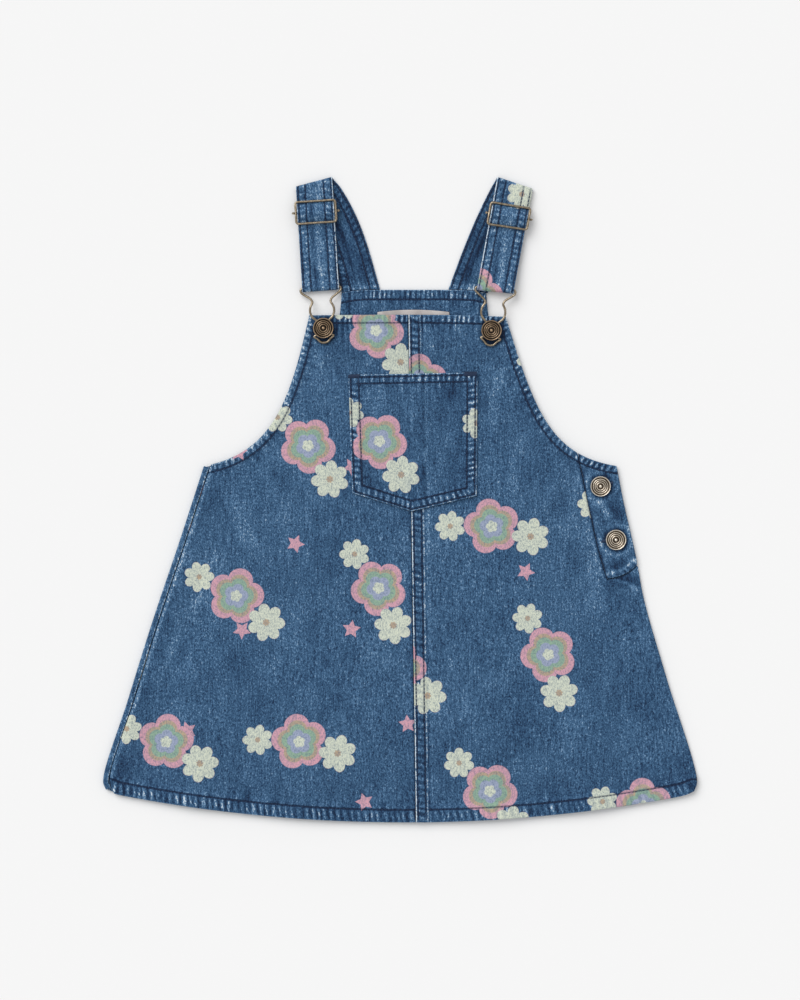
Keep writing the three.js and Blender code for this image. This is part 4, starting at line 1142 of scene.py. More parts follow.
def notched_rim(grid, notch):
    """The distance to the rim of a net whose corner past a row and a column is left out."""
    low, high = grid[:notch[0] + 1], grid[notch[0]:, :notch[1] + 1]
    rim = np.full(grid.shape[:2], 9.0)
    rim[:notch[0] + 1] = rim_distance(low, ("bottom", "left", "right"))
    foot, upper = rim[:notch[0] + 1, notch[1]:], rim[notch[0]:, :notch[1] + 1]
    foot[:] = np.minimum(foot, rim_distance(low[:, notch[1]:], ("top",)))
    upper[:] = np.minimum(upper, rim_distance(high, ("left", "right", "top")))
    return rim


def felled_seam(y, from_seam, fields):
    """Puts the seam's rows, its wear and a painted shade line beside it into the shader's numbers, and gives
    the height that it adds.
    """
    facts = EDGES["felled"]
    felled = (from_seam < 11.5) & (fields["edge"] > from_seam)
    for name in ("row_a", "row_b", "rub"):
        fields[name] = np.where(felled, facts[name], fields[name])
    fields["edge"] = np.where(felled, from_seam, fields["edge"])
    wave = rungs(y + facts["slant"] * from_seam, facts["pitch"], 260)
    pillow = np.sin(np.pi * np.clip(from_seam / SEAM_BAND, 0, 1)) ** 0.6
    worn = np.where(from_seam < SEAM_BAND + 0.5, 0.34 * wave * pillow - 0.05, fields["worn"])
    worn += wear_and_shade_lines(from_seam, [(9.9, 0.75, 0.5)]) * (0.8 + 0.3 * ripple(y, 3, 261))
    worn += wear_and_shade_lines(from_seam, [(0.5, 0.7, 0.4)]) * (0.8 + 0.3 * ripple(y, 3, 262))
    # Painted shade at the foot of the seam's raised edge.
    worn += wear_and_shade_lines(from_seam, [(11.0, 0.7, -0.2)])
    fields["worn"] = worn + wear_and_shade_lines(from_seam, [(13.5, 1.8, 0.07)]) * (1 + wave)
    rise = SEAM_RISE * (1 - smooth(9.4, 10.2, from_seam))
    press = 0.28 * (bell(from_seam - facts["row_a"], 0.5) + bell(from_seam - facts["row_b"], 0.5))
    return rise + (0.12 * pillow * wave - press) * (from_seam < SEAM_BAND)


left_grid, notch = front_left_grid()
x, y = left_grid[..., 0], left_grid[..., 1]
top, under, fields = front_surface(x, y, *FRONT_SIDES["left"])
from_seam = x - seam_line(y)
top = top + felled_seam(y, from_seam, fields)
from_opening = np.minimum(nearest(x, y, PLACKET_LINE)[0], nearest(x, y, PLACKET_FOOT)[0] + 0.4)
outer_half = from_seam > 40
# A painted shadow line along the front's edge under the placket and its foot, with a pale line beside it.
fields["worn"] += wear_and_shade_lines(from_opening, [(0, 1.3, -0.34)]) * outer_half
fields["worn"] += wear_and_shade_lines(from_opening, [(3.4, 1.6, 0.08)]) * outer_half * (y > -60)
left_denim = denim("denim_front_left", (57, -38), 0, 2.0)
front_left = panel("front_left", left_grid, (top, under), notched_rim(left_grid, notch), (0.5, 0.3),
                   [left_denim, REVERSE], fields, notch=notch)
low, high = left_grid[:notch[0] + 1], left_grid[notch[0]:, :notch[1] + 1]
left_area = flat_area(low) + flat_area(high)
print("front left cut:", round(left_area, 4), "square metres")

# %% Thread on the fronts


def felled_height(x, y):
    return front_top(x, y) + SEAM_RISE


def clipped(line, low=-np.inf, high=np.inf):
    """The stretch of a line between two limits of x."""
    return line[(line[:, 0] > low) & (line[:, 0] < high)]


def row_of_seam(distance):
    """A row of stitches along the felled seam."""
    y = np.linspace(-266, 152, 60)
    return laid_on(plan(seam_line(y) + distance, y), felled_height)


SINK = 0.2
hem_row, bib_row = HEM_FRONT + [0, HEM_BAND], BIB_FRONT - [0, BIB_BAND]
right_runs = [
    laid_on(clipped(hem_row, low=-234, high=SEAM_X + 4), front_top),
    laid_on(beside(FRONT_ARM_RIGHT, -ARMHOLE_BAND)[3:], front_top),
    laid_on(clipped(bib_row, low=-70, high=SEAM_X - 1), front_top),
]
left_runs = [
    laid_on(clipped(hem_row, low=SEAM_X + 6, high=238), front_top),
    laid_on(clipped(beside(FRONT_ARM_LEFT, ARMHOLE_BAND), high=146), front_top),
    laid_on(clipped(bib_row, low=SEAM_X + 1, high=83), front_top),
    row_of_seam(EDGES["felled"]["row_a"]),
    row_of_seam(EDGES["felled"]["row_b"]),
]
front_right_thread = sew("front_right_thread", [run - [0, 0, SINK] for run in right_runs], 300)
front_left_thread = sew("front_left_thread", [run - [0, 0, SINK] for run in left_runs], 330)

# %% [markdown]
# ## The back panel and its roll
# Only the bib of the back shows above the front, but the whole panel is there, because the dress can be
# seen from its edges and from below. Along the wearer's right the back rolls up and over on to the front,
# so the side seam lies a few millimetres in from the silhouette.

# %% Back
ROLL_RADIUS = 1.6
BACK_MIDDLE, BACK_HALF = (BACK_LEFT_X + BACK_RIGHT_X) / 2, (BACK_LEFT_X - BACK_RIGHT_X) / 2
BACK_CREASES = table(CREASE_COLUMNS, [
    ((-150, -230), (-120, -90), 10, 0.4, 5),
    ((-40, -210), (-52, -60), 12, 0.35, -4),
    ((60, -240), (66, -120), 9, 0.35, 3),
    ((150, -190), (120, -40), 11, 0.4, -6),
])


def back_bib_edge(x):
    return BACK_TOP - BACK_CORNER_DROP * (np.abs(x - BACK_MIDDLE) / BACK_HALF) ** 6


def back_hem(x):
    return hem_line(x) + BACK_INSET


BACK_BIB = edge_of(back_bib_edge, BACK_RIGHT_X, BACK_LEFT_X, 40)
HEM_BACK = edge_of(back_hem, -242, 243, 60)


def back_grid():
    lines = []
    sides = (SIDE_RIGHT, BACK_ARM_RIGHT, ROLL_RADIUS + 0.1), (SIDE_LEFT, BACK_ARM_LEFT, -BACK_INSET)
    for seam, arm, inset in sides:
        corner_x = np.sign(seam[0][0]) * (CORNER_X - CORNER_NARROWS * abs(inset))
        corner = (corner_x, back_hem(corner_x))
        side = through([corner, *[(px + inset, py) for px, py in seam[:-1]], arm[0]])
        lines.append(np.concatenate([side, arm[1:]]))
    right, left = lines
    bottom = curve_between(right[0], left[0], back_hem)
    u = places(lengths(bottom)[-1], 4.5)
    v = places(lengths(right)[-1], 4.0, band_first=12, band_last=26, fine=1.0)
    return net(bottom, curve_between(right[-1], left[-1], back_bib_edge), right, left, u, v)


grid = back_grid()
x, y = grid[..., 0], grid[..., 1]
back_edges = [("hem", HEM_BACK), ("armhole", BACK_ARM_RIGHT), ("armhole", BACK_ARM_LEFT)]
fields, lift = edge_fields(x, y, [*back_edges, ("back_bib", BACK_BIB)], 400)
hollow = np.maximum(0, crease_lift(x, y, BACK_CREASES))
back_top = CLOTH + (TURNED - CLOTH) * hem_turn(x, y, 0) + 0.3 * np.maximum(lift, -0.5)
back_denim = denim("denim_back", (-31, 64), 0, 3.0)
back = panel("back", grid, (back_top + 0.5 * hollow * (y < 120), 0.4 * hollow), rim_distance(grid),
             (0.45, 0.35), [back_denim, back_denim], fields, coarse=2)
back_area = flat_area(grid)


def side_roll():
    """The strip of the back that turns round the wearer's right side and ends on the front."""
    line = through([(-CORNER_X, hem_line(-CORNER_X)), *SIDE_RIGHT])
    shares = places(lengths(line)[-1], 1.6)
    path = shares_of(line, shares)
    way = np.gradient(path, axis=0)
    way /= np.linalg.norm(way, axis=1)[:, None]
    inward = np.stack([way[:, 1], -way[:, 0]], 1)
    centre = ROLL_RADIUS + CLOTH / 2
    turns = np.radians(np.arange(0, 181, 15))
    inset = np.concatenate([centre - ROLL_RADIUS * np.sin(turns), [2.9, 3.6, 4.2, ROLL_REACH]])
    height = np.concatenate([centre - ROLL_RADIUS * np.cos(turns), np.full(4, centre + ROLL_RADIUS)])
    wave = ripple(lengths(path), 9, 430)[:, None] * 0.12
    middle = path[:, None] + inward[:, None] * inset[None, :, None]
    z = np.broadcast_to(height, middle.shape[:2]) + wave * (height[None] > centre)
    return np.concatenate([middle, z[..., None]], 2), lengths(path)


def even_wall(middle, thickness):
    """Two grids of points, half a thickness either side of a middle one."""
    normal = np.cross(np.gradient(middle, axis=1), np.gradient(middle, axis=0))
    normal /= np.linalg.norm(normal, axis=2)[..., None]
    half = np.asarray(thickness)[..., None] / 2 if np.ndim(thickness) else thickness / 2
    return middle + normal * half, middle - normal * half


middle, along = side_roll()
roll_rim = rim_distance(middle, ("bottom", "top", "right"))
upper, lower = even_wall(middle, CLOTH - 2 * rounding(roll_rim, 0.4))
inset = np.linalg.norm(middle - middle[:, -1:], axis=2)
no_rows = np.full(inset.shape, NO_ROW)
worn = 0.1 * ripple(along, 3.5, 433)[:, None] + wear_and_shade_lines(inset, [(4.5, 1.0, 0.14)])
fields = {"edge": inset, "row_a": no_rows, "row_b": no_rows, "rub": np.full(inset.shape, 0.55), "worn": worn}
roll_denim = denim("denim_side_roll", (17, 40), 0, with_print=False)
side_seam_roll = shell("side_roll_cloth", upper, lower, [roll_denim, REVERSE], fields, coarse=1)
stands_for(side_seam_roll, "back")

# %% [markdown]
# ## Facing and label
# Inside the back bib lies a plain facing, stitched along its top, and on it a plain woven label. Its
# weave is much finer than the denim's, so it is smooth and a little shiny.

# %% Facing and label
FACING_WIDE, FACING_DEPTH, FACING_INSET, FACING_SPREAD = 120, 48, 0.4, 4
FACING_TOP = CLOTH + GAP + THIN
FACING_LINES = (-42.0, 66.0)  # a dark line down each side of it


def facing_edge(x):
    return back_bib_edge(x) - FACING_INSET


def facing_height(x, y):
    return np.full(x.shape, FACING_TOP)


def facing_grid():
    right_x, left_x, low = BACK_RIGHT_X + FACING_INSET, BACK_LEFT_X - FACING_INSET, BACK_TOP - FACING_DEPTH
    corner_y = BACK_TOP - BACK_CORNER_DROP
    top_line = curve_between((right_x, corner_y), (left_x, corner_y), facing_edge)
    right = np.linspace((right_x - FACING_SPREAD, low), top_line[0], 30)
    left = np.linspace((left_x + FACING_SPREAD, low), top_line[-1], 30)
    u, v = places(FACING_WIDE, 1.3), places(FACING_DEPTH, 1.4, band_last=12)
    return net(np.linspace(right[0], left[0], 30), top_line, right, left, u, v)


grid = facing_grid()
x, y = grid[..., 0], grid[..., 1]
fields, lift = edge_fields(x, y, [("back_bib", BACK_BIB)], 470)
for line_x in FACING_LINES:
    fields["worn"] += wear_and_shade_lines(x - line_x, [(0, 0.9, -0.3)]) * (y > BACK_TOP - 40)
    fields["worn"] += wear_and_shade_lines(x - line_x, [(2.4, 1.2, 0.1)])
facing_top = FACING_TOP + 0.35 * lift * (y > 152) + 0.06 * patches(x, y, 14, 471)
facing_denim = denim("denim_facing", (5, 9), 0, 4.0, with_print=False, shade_of=-0.03)
facing = panel("back_facing", grid, (facing_top, np.full(x.shape, CLOTH + GAP)), rim_distance(grid),
               (0.35, 0.2), [facing_denim, REVERSE], fields)
facing_area = flat_area(grid)
facing_row = BACK_BIB[1:-1] - [0, EDGES["back_bib"]["row_a"]]
facing_thread = sew("back_facing_thread", [laid_on(facing_row, facing_height)], 350)


def label_material():
    material, shade = new_material("label_weave")
    place = shade.place()
    x, y = (part * 1000 for part in shade.three("ShaderNodeSeparateXYZ", place)[:2])
    weave = (x * 14).math("SINE", x * 14) * (y * 9).math("SINE", y * 9)
    cloud = shade.noise(place, 90.0, 2.0)
    colour = shade.blend(linear("#A79F9C"), linear("#C0B9B5"), cloud.step(0.3, 0.7))
    output_surface(shade, {"Roughness": 0.55, "Sheen Weight": 0.2},
                   {"Base Color": colour, "Normal": bump(shade, weave + cloud, 0.08, 0.5)})
    return material


def four_sided(corners, u, v, count=9):
    """A net between four corners: the lower two, then the upper two."""
    a, b, c, d = (np.array(place, float) for place in corners)
    return net(*(np.linspace(*ends, count) for ends in ((a, b), (c, d), (a, c), (b, d))), u, v)


left_x, right_x, high = LABEL["left"], LABEL["right"], LABEL["top"]
low = high - LABEL["depth"]
grid = four_sided([(left_x, low), (right_x, low), (left_x, high), (right_x, high)],
                  places(right_x - left_x, 1.5), places(LABEL["depth"], 1.5))
rim = rim_distance(grid)
sag = 0.12 * ripple(grid[..., 0], 12, 480)
arch = ((grid[..., 0] - (left_x + right_x) / 2) / 30) ** 2
grid[..., 1] -= 1.9 * arch * (grid[..., 1] - low) / LABEL["depth"]
label_seat = FACING_TOP + GAP + sag
label = panel("label", grid, (label_seat + 0.9, label_seat + 0.12), rim, (0.3, 0.15), [label_material()],
              slot="label_cloth")
label_area = flat_area(grid)

# %% [markdown]
# ## The pocket
# The patch pocket lies over the felled seam, so the seam shows through it as two soft ridges. Its sides
# and pointed foot are stitched twice, its top edge is turned down, and its top corners are held by bar
# tacks, where the thread runs to and fro many times.

# %% Pocket
POCKET = {"top_right": (-42.8, 103.3), "top_left": (64.3, 105.3), "bottom_left": (63.4, 3.1),
          "point": (9.5, -9.8), "bottom_right": (-39.5, 5.5)}
POCKET_WIDE, POCKET_DEEP = 107, 104
POCKET_LIFT = 0.7  # how much thicker its turned border is
POCKET_CREASES = table(CREASE_COLUMNS, [
    ((-24, 92), (-10, 20), 7, 0.35, 4),
    ((34, 88), (48, 24), 6, -0.3, -4),
    ((-34, 30), (4, 8), 4, 0.3, -2),
    ((52, 60), (22, 40), 4, 0.25, 2),
])
POCKET_BLOTS = table(("x", "y", "wide", "tall"), [
    (18, 16, 6, 9), (4, 14, 5, 7), (-28, 20, 6, 6), (50, 60, 5, 14), (46, 22, 6, 8), (42, 88, 9, 6),
])


def pocket_seat(x, y):
    """Height of what the pocket lies on."""
    seam = seam_line(y)
    rise = smooth(seam - 5, seam - 0.5, x) * (1 - smooth(seam + SEAM_BAND + 0.5, seam + SEAM_BAND + 5, x))
    return front_heights(x, y)[0] + front_unevenness(x, y) + SEAM_RISE * rise + GAP


def pocket_height_at(x, y):
    return pocket_seat(x, y) + CLOTH + 0.55


def joined(stops, count):
    """A line of straight stretches between these places."""
    stretches = [np.linspace(a, b, count)[:-1] for a, b in zip(stops, stops[1:])]
    return np.concatenate([*stretches, stops[-1][None]])


corner = {name: np.array(place, float) for name, place in POCKET.items()}
pocket_bottom = joined([corner["bottom_right"], corner["point"], corner["bottom_left"]], 20)
pocket_top = joined([corner["top_right"], corner["top_left"]], 20)
pocket_right = joined([corner["bottom_right"], corner["top_right"]], 20)
pocket_left = joined([corner["bottom_left"], corner["top_left"]], 20)
band = {"band_first": 11, "band_last": 11, "fine": 0.7}
grid = net(pocket_bottom, pocket_top, pocket_right, pocket_left,
           places(POCKET_WIDE, 1.15, **band), places(POCKET_DEEP, 1.15, **band))
x, y = grid[..., 0], grid[..., 1]
pocket_sides = [("pocket_side", line) for line in (pocket_right, pocket_left, pocket_bottom)]
fields, lift = edge_fields(x, y, [*pocket_sides, ("pocket_top", pocket_top)], 500)
creased = crease_lift(x, y, POCKET_CREASES)
seam = seam_line(y)
for ridge_x in (seam - 1.2, seam + SEAM_BAND + 1.2):
    fields["worn"] += wear_and_shade_lines(x - ridge_x, [(0, 1.2, -0.12), (2.6, 1.4, 0.07)])
fields["worn"] += 0.15 * creased + 0.07 * patches(x * 1.7, y * 0.6, 7, 505)
for blot in POCKET_BLOTS:
    fields["worn"] -= 0.16 * bell(x - blot["x"], blot["wide"]) * bell(y - blot["y"], blot["tall"])
turned = 1 - smooth(8.8, 10.4, fields["edge"])
press = 0.3 * (bell(fields["edge"] - fields["row_a"], 0.6) + bell(fields["edge"] - fields["row_b"], 0.6))
seat = pocket_seat(x, y)
pocket_denim = denim("denim_pocket", (88, 5), 0, 5.0)
pocket = panel("pocket", grid, (seat + CLOTH + POCKET_LIFT * turned + 0.8 * lift + creased - press, seat),
               rim_distance(grid), (0.6, 0.2), [pocket_denim, REVERSE], fields)
pocket_area = flat_area(grid)


def inner_line(distance):
    """The pocket's sides and foot, moved inward."""
    return joined([
        corner["top_right"] + [distance, -1.2],
        corner["bottom_right"] + [distance, distance * 0.85],
        corner["point"] + [0, distance * 1.03],
        corner["bottom_left"] + [-distance, distance * 0.85],
        corner["top_left"] + [-distance, -1.2],
    ], 30)


side_rows, top_rows = ((EDGES[kind]["row_a"], EDGES[kind]["row_b"]) for kind in ("pocket_side", "pocket_top"))
pocket_runs = [laid_on(inner_line(row), pocket_height_at) for row in side_rows]
pocket_runs += [laid_on(pocket_top[1:-1] - [0, row], pocket_height_at) for row in top_rows]
pocket_thread = sew("pocket_thread", pocket_runs, 520)


TACK = {"radius": 0.38, "lean": 0.5, "rise": 0.25}


def bar_tack(name, start, end, wide, height, count):
    """A short bar of thread laid to and fro across a line."""
    start, end = np.array(start, float), np.array(end, float)
    way = unit(end - start)
    side = np.array([-way[1], way[0]]) * wide / 2 + way * TACK["lean"]
    middle = start + (end - start) * np.linspace(0, 1, count)[:, None]
    z = height(middle[:, 0], middle[:, 1])[:, None] + TACK["rise"]
    starts, ends = np.concatenate([middle - side, z], 1), np.concatenate([middle + side, z], 1)
    return thread_piece(name, starts, ends, TACK["radius"])


tack_right = bar_tack("pocket_tack_right", (-42.6, 102.0), (-33.9, 102.3), 3.2, pocket_height_at, 18)
tack_left = bar_tack("pocket_tack_left", (53.4, 104.0), (63.2, 104.2), 4.0, pocket_height_at, 20)

# %% [markdown]
# ## The placket
# The side opening's edge is a doubled strip that buttons over the back. Its foot is turned up and casts a
# dark line, and a buttonhole, whipped with thread, shows beside each button.

# %% Placket
SIDE_BUTTONS = table(("name", "x", "y"), [
    ("side_button_upper", 166.2, 10.8),
    ("side_button_lower", 179, -33.5),
])
PLACKET_CREASES = table(CREASE_COLUMNS, [
    ((160, 0), (176, -20), 4, 0.4, 2),
    ((172, 2), (184, -18), 3.5, -0.35, -2),
    ((166, -34), (176, -56), 4, 0.35, 2),
    ((186, -40), (192, -56), 3.5, 0.35, -1),
    ((153, 24), (163, -6), 3, 0.3, 1),
])
PLACKET_WIDE, PLACKET_LONG = 28, 108
PLACKET_OUTER = through([PLACKET_END, *SIDE_LEFT[3:]])
PLACKET_TOP = bezier(ARM_LEFT_HANDLES, 400)[:int(400 * PLACKET_SHARE) + 1][::-1]


def placket_seat(x, y):
    return CLOTH + GAP + belly(x, y)


def placket_height(x, y):
    return placket_seat(x, y) + PLACKET_WALL + 0.35 * crease_lift(x, y, PLACKET_CREASES)


u, v = places(PLACKET_WIDE, 1.0), places(PLACKET_LONG, 1.1, band_first=8, band_last=8)
grid = net(PLACKET_FOOT, PLACKET_TOP, PLACKET_LINE, PLACKET_OUTER, u, v)
x, y = grid[..., 0], grid[..., 1]
fields, lift = edge_fields(x, y, [("placket", PLACKET_FOOT), ("armhole", PLACKET_TOP)], 600)
from_foot = nearest(x, y, PLACKET_FOOT)[0]
foot_row = (fields["row_a"] == EDGES["placket"]["row_a"]) & (from_foot < 12)
fields["row_a"] = np.where(foot_row, NO_ROW, fields["row_a"])
fields["worn"] += wear_and_shade_lines(from_foot, [(4.5, 1.6, 0.26), (9.5, 3, -0.16)])
fields["worn"] += 0.6 * crease_lift(x, y, PLACKET_CREASES) + 0.13 * patches(x * 1.4, y * 0.7, 7, 611) - 0.05
fields["worn"] += wear_and_shade_lines(rim_distance(grid, ("left",)), [(0, 1.1, -0.3), (3, 1.6, 0.1)])
fields["worn"] += wear_and_shade_lines(rim_distance(grid, ("right",)), [(1.5, 1.4, 0.12)])
for place in SIDE_BUTTONS:
    away = np.hypot(x - place["x"], y - place["y"])
    # A pale ring round each side button, and painted shadow just round it.
    fields["worn"] += wear_and_shade_lines(away, [(13, 2, 0.12)]) - 0.3 * (1 - smooth(8.2, 11.5, away))
placket_denim = denim("denim_placket", (31, 17), 4, 6.0, with_print=False)
placket = panel("side_placket", grid, (placket_height(x, y) + 0.7 * lift, placket_seat(x, y)),
                rim_distance(grid), (0.9, 0.4), [placket_denim, REVERSE], fields)
placket_area = flat_area(grid)
placket_runs = [laid_on(clipped(beside(PLACKET_TOP[::-1], ARMHOLE_BAND), low=150, high=176), placket_height)]
placket_thread = sew("side_placket_thread", placket_runs, 620)
buttonholes = [bar_tack("buttonhole_upper", (173.2, 13.2), (176.4, 13.9), 2.2, placket_height, 9),
               bar_tack("buttonhole_lower", (167.2, -34.8), (170.4, -34.0), 2.2, placket_height, 9)]

# %% [markdown]
# ## The straps
# Each strap is one long strip of doubled denim. It lies on the surface behind, folds over at the shoulder,
# runs under the slider's frame and over its bar, goes round the buckle's bar and comes back underneath.
# The strip is built row by row along that way, and its wall is laid half on each side of it.

# %% Strap measures
STRAP_HALF, STRAP_WALL, FOLD_RADIUS, WIRE = 15.25, 1.6, 1.3, 0.95
WRAP = WIRE + GAP + STRAP_WALL / 2
SLIDER = {"half": 17.5, "depth": 20, "corner": 1.9, "bar_end": 18.9}
BUTTON_AT = 33.95
BAR_RISE = SLIDER["depth"] / 2 - WIRE
SLIDER_BAR_Z = 2 * (STRAP_WALL + GAP) + WIRE
SLIDER_FRAME_Z = SLIDER_BAR_Z + 2 * WIRE + GAP
SLIDER_TILT = 0.85
STRAPS = [
    {"side": "right", "base": (-32.4, 174.3), "fold": (-70.4, 261.8), "end": (-65.7, 172.8),
     "button": BIB_BUTTONS[0], "fold_tilt": 15, "lean": 26.6, "base_lean": 18.4, "inner": 1,
     "low": 0.3, "low_from": 78, "low_to": 87, "bow": (1, 9), "slider_at": 23.4},
    {"side": "left", "base": (56.4, 174.3), "fold": (94.5, 260.9), "end": (78.7, 171.9),
     "button": BIB_BUTTONS[1], "fold_tilt": -18.5, "lean": -26.6, "base_lean": -22.6, "inner": -1,
     "low": 2.8, "low_from": 58, "low_to": 78, "bow": (-1, -2.5), "slider_at": 26.4,
     "bits": {"daisy": (101, 253), "flower": (62, 169)}},
]
BASE_TURN = 22  # how far a strap's foot takes to turn from the bib's edge into its own way
BACK_HANDLES = (0.3, 0.35)
FOLD_TURNS_FROM, FOLD_NARROWS_FROM, FOLD_SETTLES, WRAP_TURN = 0.7, 0.85, 9, 215


def strap_plan(strap):
    """Where a strap folds, and the line that its front part follows."""
    lean, tilt = math.radians(strap["lean"]), math.radians(strap["fold_tilt"])
    made = {"up": np.array([-math.sin(lean), math.cos(lean)]), "slant": lean - tilt}
    made["fold_along"] = np.array([math.cos(tilt), math.sin(tilt)])
    made["fold_out"] = np.array([-math.sin(tilt), math.cos(tilt)])
    made["skew"] = made["up"] @ made["fold_along"] / (made["up"] @ made["fold_out"])
    made["start"] = np.array(strap["fold"]) + made["fold_along"] * math.pi * FOLD_RADIUS * made["skew"]
    way = np.array(strap["end"]) - made["start"]
    made["length"] = np.linalg.norm(way) - WRAP - STRAP_WALL / 2
    made["down"] = unit(way)
    made["across"] = np.array([-made["down"][1], made["down"][0]])
    made["bar"] = made["start"] + made["down"] * made["length"]
    to_button = np.array(strap["button"]) - made["bar"]
    made["reach"], made["buckle_down"] = np.linalg.norm(to_button), unit(to_button)
    turned = made["down"][0] * made["buckle_down"][1] - made["down"][1] * made["buckle_down"][0]
    made["twist"] = math.asin(turned)
    made["bar_z"] = strap["low"] + STRAP_WALL + GAP + WIRE
    made["fold_turn"] = tilt - math.atan2(made["across"][1], made["across"][0])
    return made


def front_points(strap_way, a, b, z):
    """Points on a strap's front part: a to the wearer's left of its middle, b below the fold."""
    b, z = np.broadcast_arrays(np.asarray(b, float), np.asarray(z, float))
    from_fold = strap_way["fold_turn"] * (1 - smooth(0, FOLD_SETTLES, b))
    turn = from_fold + strap_way["twist"] * np.clip(b / strap_way["length"], 0, 1)
    cosine, sine = np.cos(turn), np.sin(turn)
    ax, ay = strap_way["across"]
    reach = np.asarray(a) / np.cos(from_fold)
    x = strap_way["start"][0] + strap_way["down"][0] * b + (ax * cosine - ay * sine) * reach
    y = strap_way["start"][1] + strap_way["down"][1] * b + (ax * sine + ay * cosine) * reach
    return np.stack([x, y, np.broadcast_to(z, x.shape)], -1)


def under_layer(strap, b):
    return mix(STRAP_WALL + GAP, strap["low"], smooth(strap["low_from"], strap["low_to"], b)) + STRAP_WALL / 2


def upper_layer(strap, way):
    """Distance below the fold and height of the upper layer's middle."""
    top, layer = STRAP_WALL / 2 + 2 * FOLD_RADIUS, STRAP_WALL + GAP
    over, end = SLIDER_BAR_Z + WRAP + layer, way["length"]
    at = strap["slider_at"]
    before, after = at - BAR_RISE, at + BAR_RISE
    stops = [
        (0, top), (before - 5, top + 0.25), (before, SLIDER_FRAME_Z - SLIDER_TILT - WRAP - 0.05),
        (at - 5, over - 2.45), (at - 2.1, over - 0.55), (at, over),
        (at + 1.8, over - 0.2), (at + 5, over - 1.45),
        (after, SLIDER_FRAME_Z + SLIDER_TILT - WRAP - 0.1),
        (after + 9, under_layer(strap, after + 9) + layer + 0.15),
        (end - 20, under_layer(strap, end - 20) + layer + 0.2), (end - 8, way["bar_z"] + WRAP - 0.9),
        (end - 3, way["bar_z"] + WRAP - 0.1), (end, way["bar_z"] + WRAP),
    ]
    return through(stops)


# %% Strap cloth
STRAP_COLUMNS = np.array([1, 0.985, 0.95, 0.91, 0.85, 0.78, 0.7, 0.62, 0.56, 0.5, 0.44, 0.36, 0.24, 0.12, 0])
STRAP_COLUMNS = STRAP_HALF * np.concatenate([-STRAP_COLUMNS, STRAP_COLUMNS[-2::-1]])
STRAP_ROWS = {"edge": 1.5, "inner": 7.5}


def back_part(strap, way):
    """The rows of a strap from the bib up to its fold."""
    lean, tilt = math.radians(strap["base_lean"]), math.radians(strap["fold_tilt"])
    start, end = np.array(strap["base"]) + [0, GAP], np.array(strap["fold"])
    span = np.linalg.norm(end - start)
    first, second = BACK_HANDLES
    low = start + np.array([-math.sin(lean), math.cos(lean)]) * span * first + [strap["bow"][0], 0]
    high = end - way["up"] * span * second + [strap["bow"][1], 0]
    line = bezier([start, low, high, end], 120)
    total = lengths(line)[-1]
    rows = []
    for share in places(total, 1.3, last=False)[:-1]:
        centre = along_line(line, [share * total])[0]
        near = along_line(line, [share * total - 0.5, share * total + 0.5])
        square = math.atan2(*(near[1] - near[0])[::-1]) - math.pi / 2
        from_base = smooth(0, BASE_TURN / span, share)
        angle = mix(square * from_base, tilt, smooth(FOLD_TURNS_FROM, 1, share))
        narrow = mix(math.cos(square - angle), math.cos(way["slant"]), smooth(FOLD_NARROWS_FROM, 1, share))
        reach = STRAP_COLUMNS / narrow
        x, y = centre[0] + math.cos(angle) * reach, centre[1] + math.sin(angle) * reach
        y = y - (1 - from_base) * (strap["base"][1] - back_bib_edge(x))
        rows.append(np.stack([x, y, np.full(reach.shape, STRAP_WALL / 2)], 1))
    return rows


def fold_part(strap, way):
    """The rows round a strap's fold at the shoulder."""
    rows = []
    for angle in np.linspace(0, math.pi, 15)[:-1]:
        reach = STRAP_COLUMNS / math.cos(way["slant"]) + FOLD_RADIUS * angle * way["skew"]
        out = way["fold_out"] * FOLD_RADIUS * math.sin(angle)
        flat = np.array(strap["fold"]) + way["fold_along"] * reach[:, None] + out
        z = STRAP_WALL / 2 + FOLD_RADIUS * (1 - math.cos(angle))
        rows.append(np.concatenate([flat, np.full((len(reach), 1), z)], 1))
    return rows


def strap_rows(strap, way):
    """The middle of the strap's wall, row by row, and the rows at its fold, its front part and its bar."""
    a = STRAP_COLUMNS[None]
    rows = back_part(strap, way)
    fold_row = len(rows)
    rows += fold_part(strap, way)
    front_row = len(rows)
    upper = upper_layer(strap, way)
    upper = along_line(upper, np.linspace(0, lengths(upper)[-1], 84))
    rows += list(front_points(way, a, upper[:, :1], upper[:, 1:]))
    bar_row = len(rows)
    turn = np.linspace(0, math.pi, 15)[1:, None]
    round_bar = way["length"] + WRAP * np.sin(turn)
    rows += list(front_points(way, a, round_bar, way["bar_z"] + WRAP * np.cos(turn)))
    back_up = np.linspace(way["length"], strap["slider_at"], 50)[1:, None]
    rows += list(front_points(way, a, back_up, under_layer(strap, back_up)))
    turn = np.radians(np.linspace(0, WRAP_TURN, 18))[1:, None]
    wrapped = strap["slider_at"] - WRAP * np.sin(turn)
    rows += list(front_points(way, a, wrapped, SLIDER_BAR_Z - WRAP * np.cos(turn)))
    return np.array(rows), fold_row, front_row, bar_row


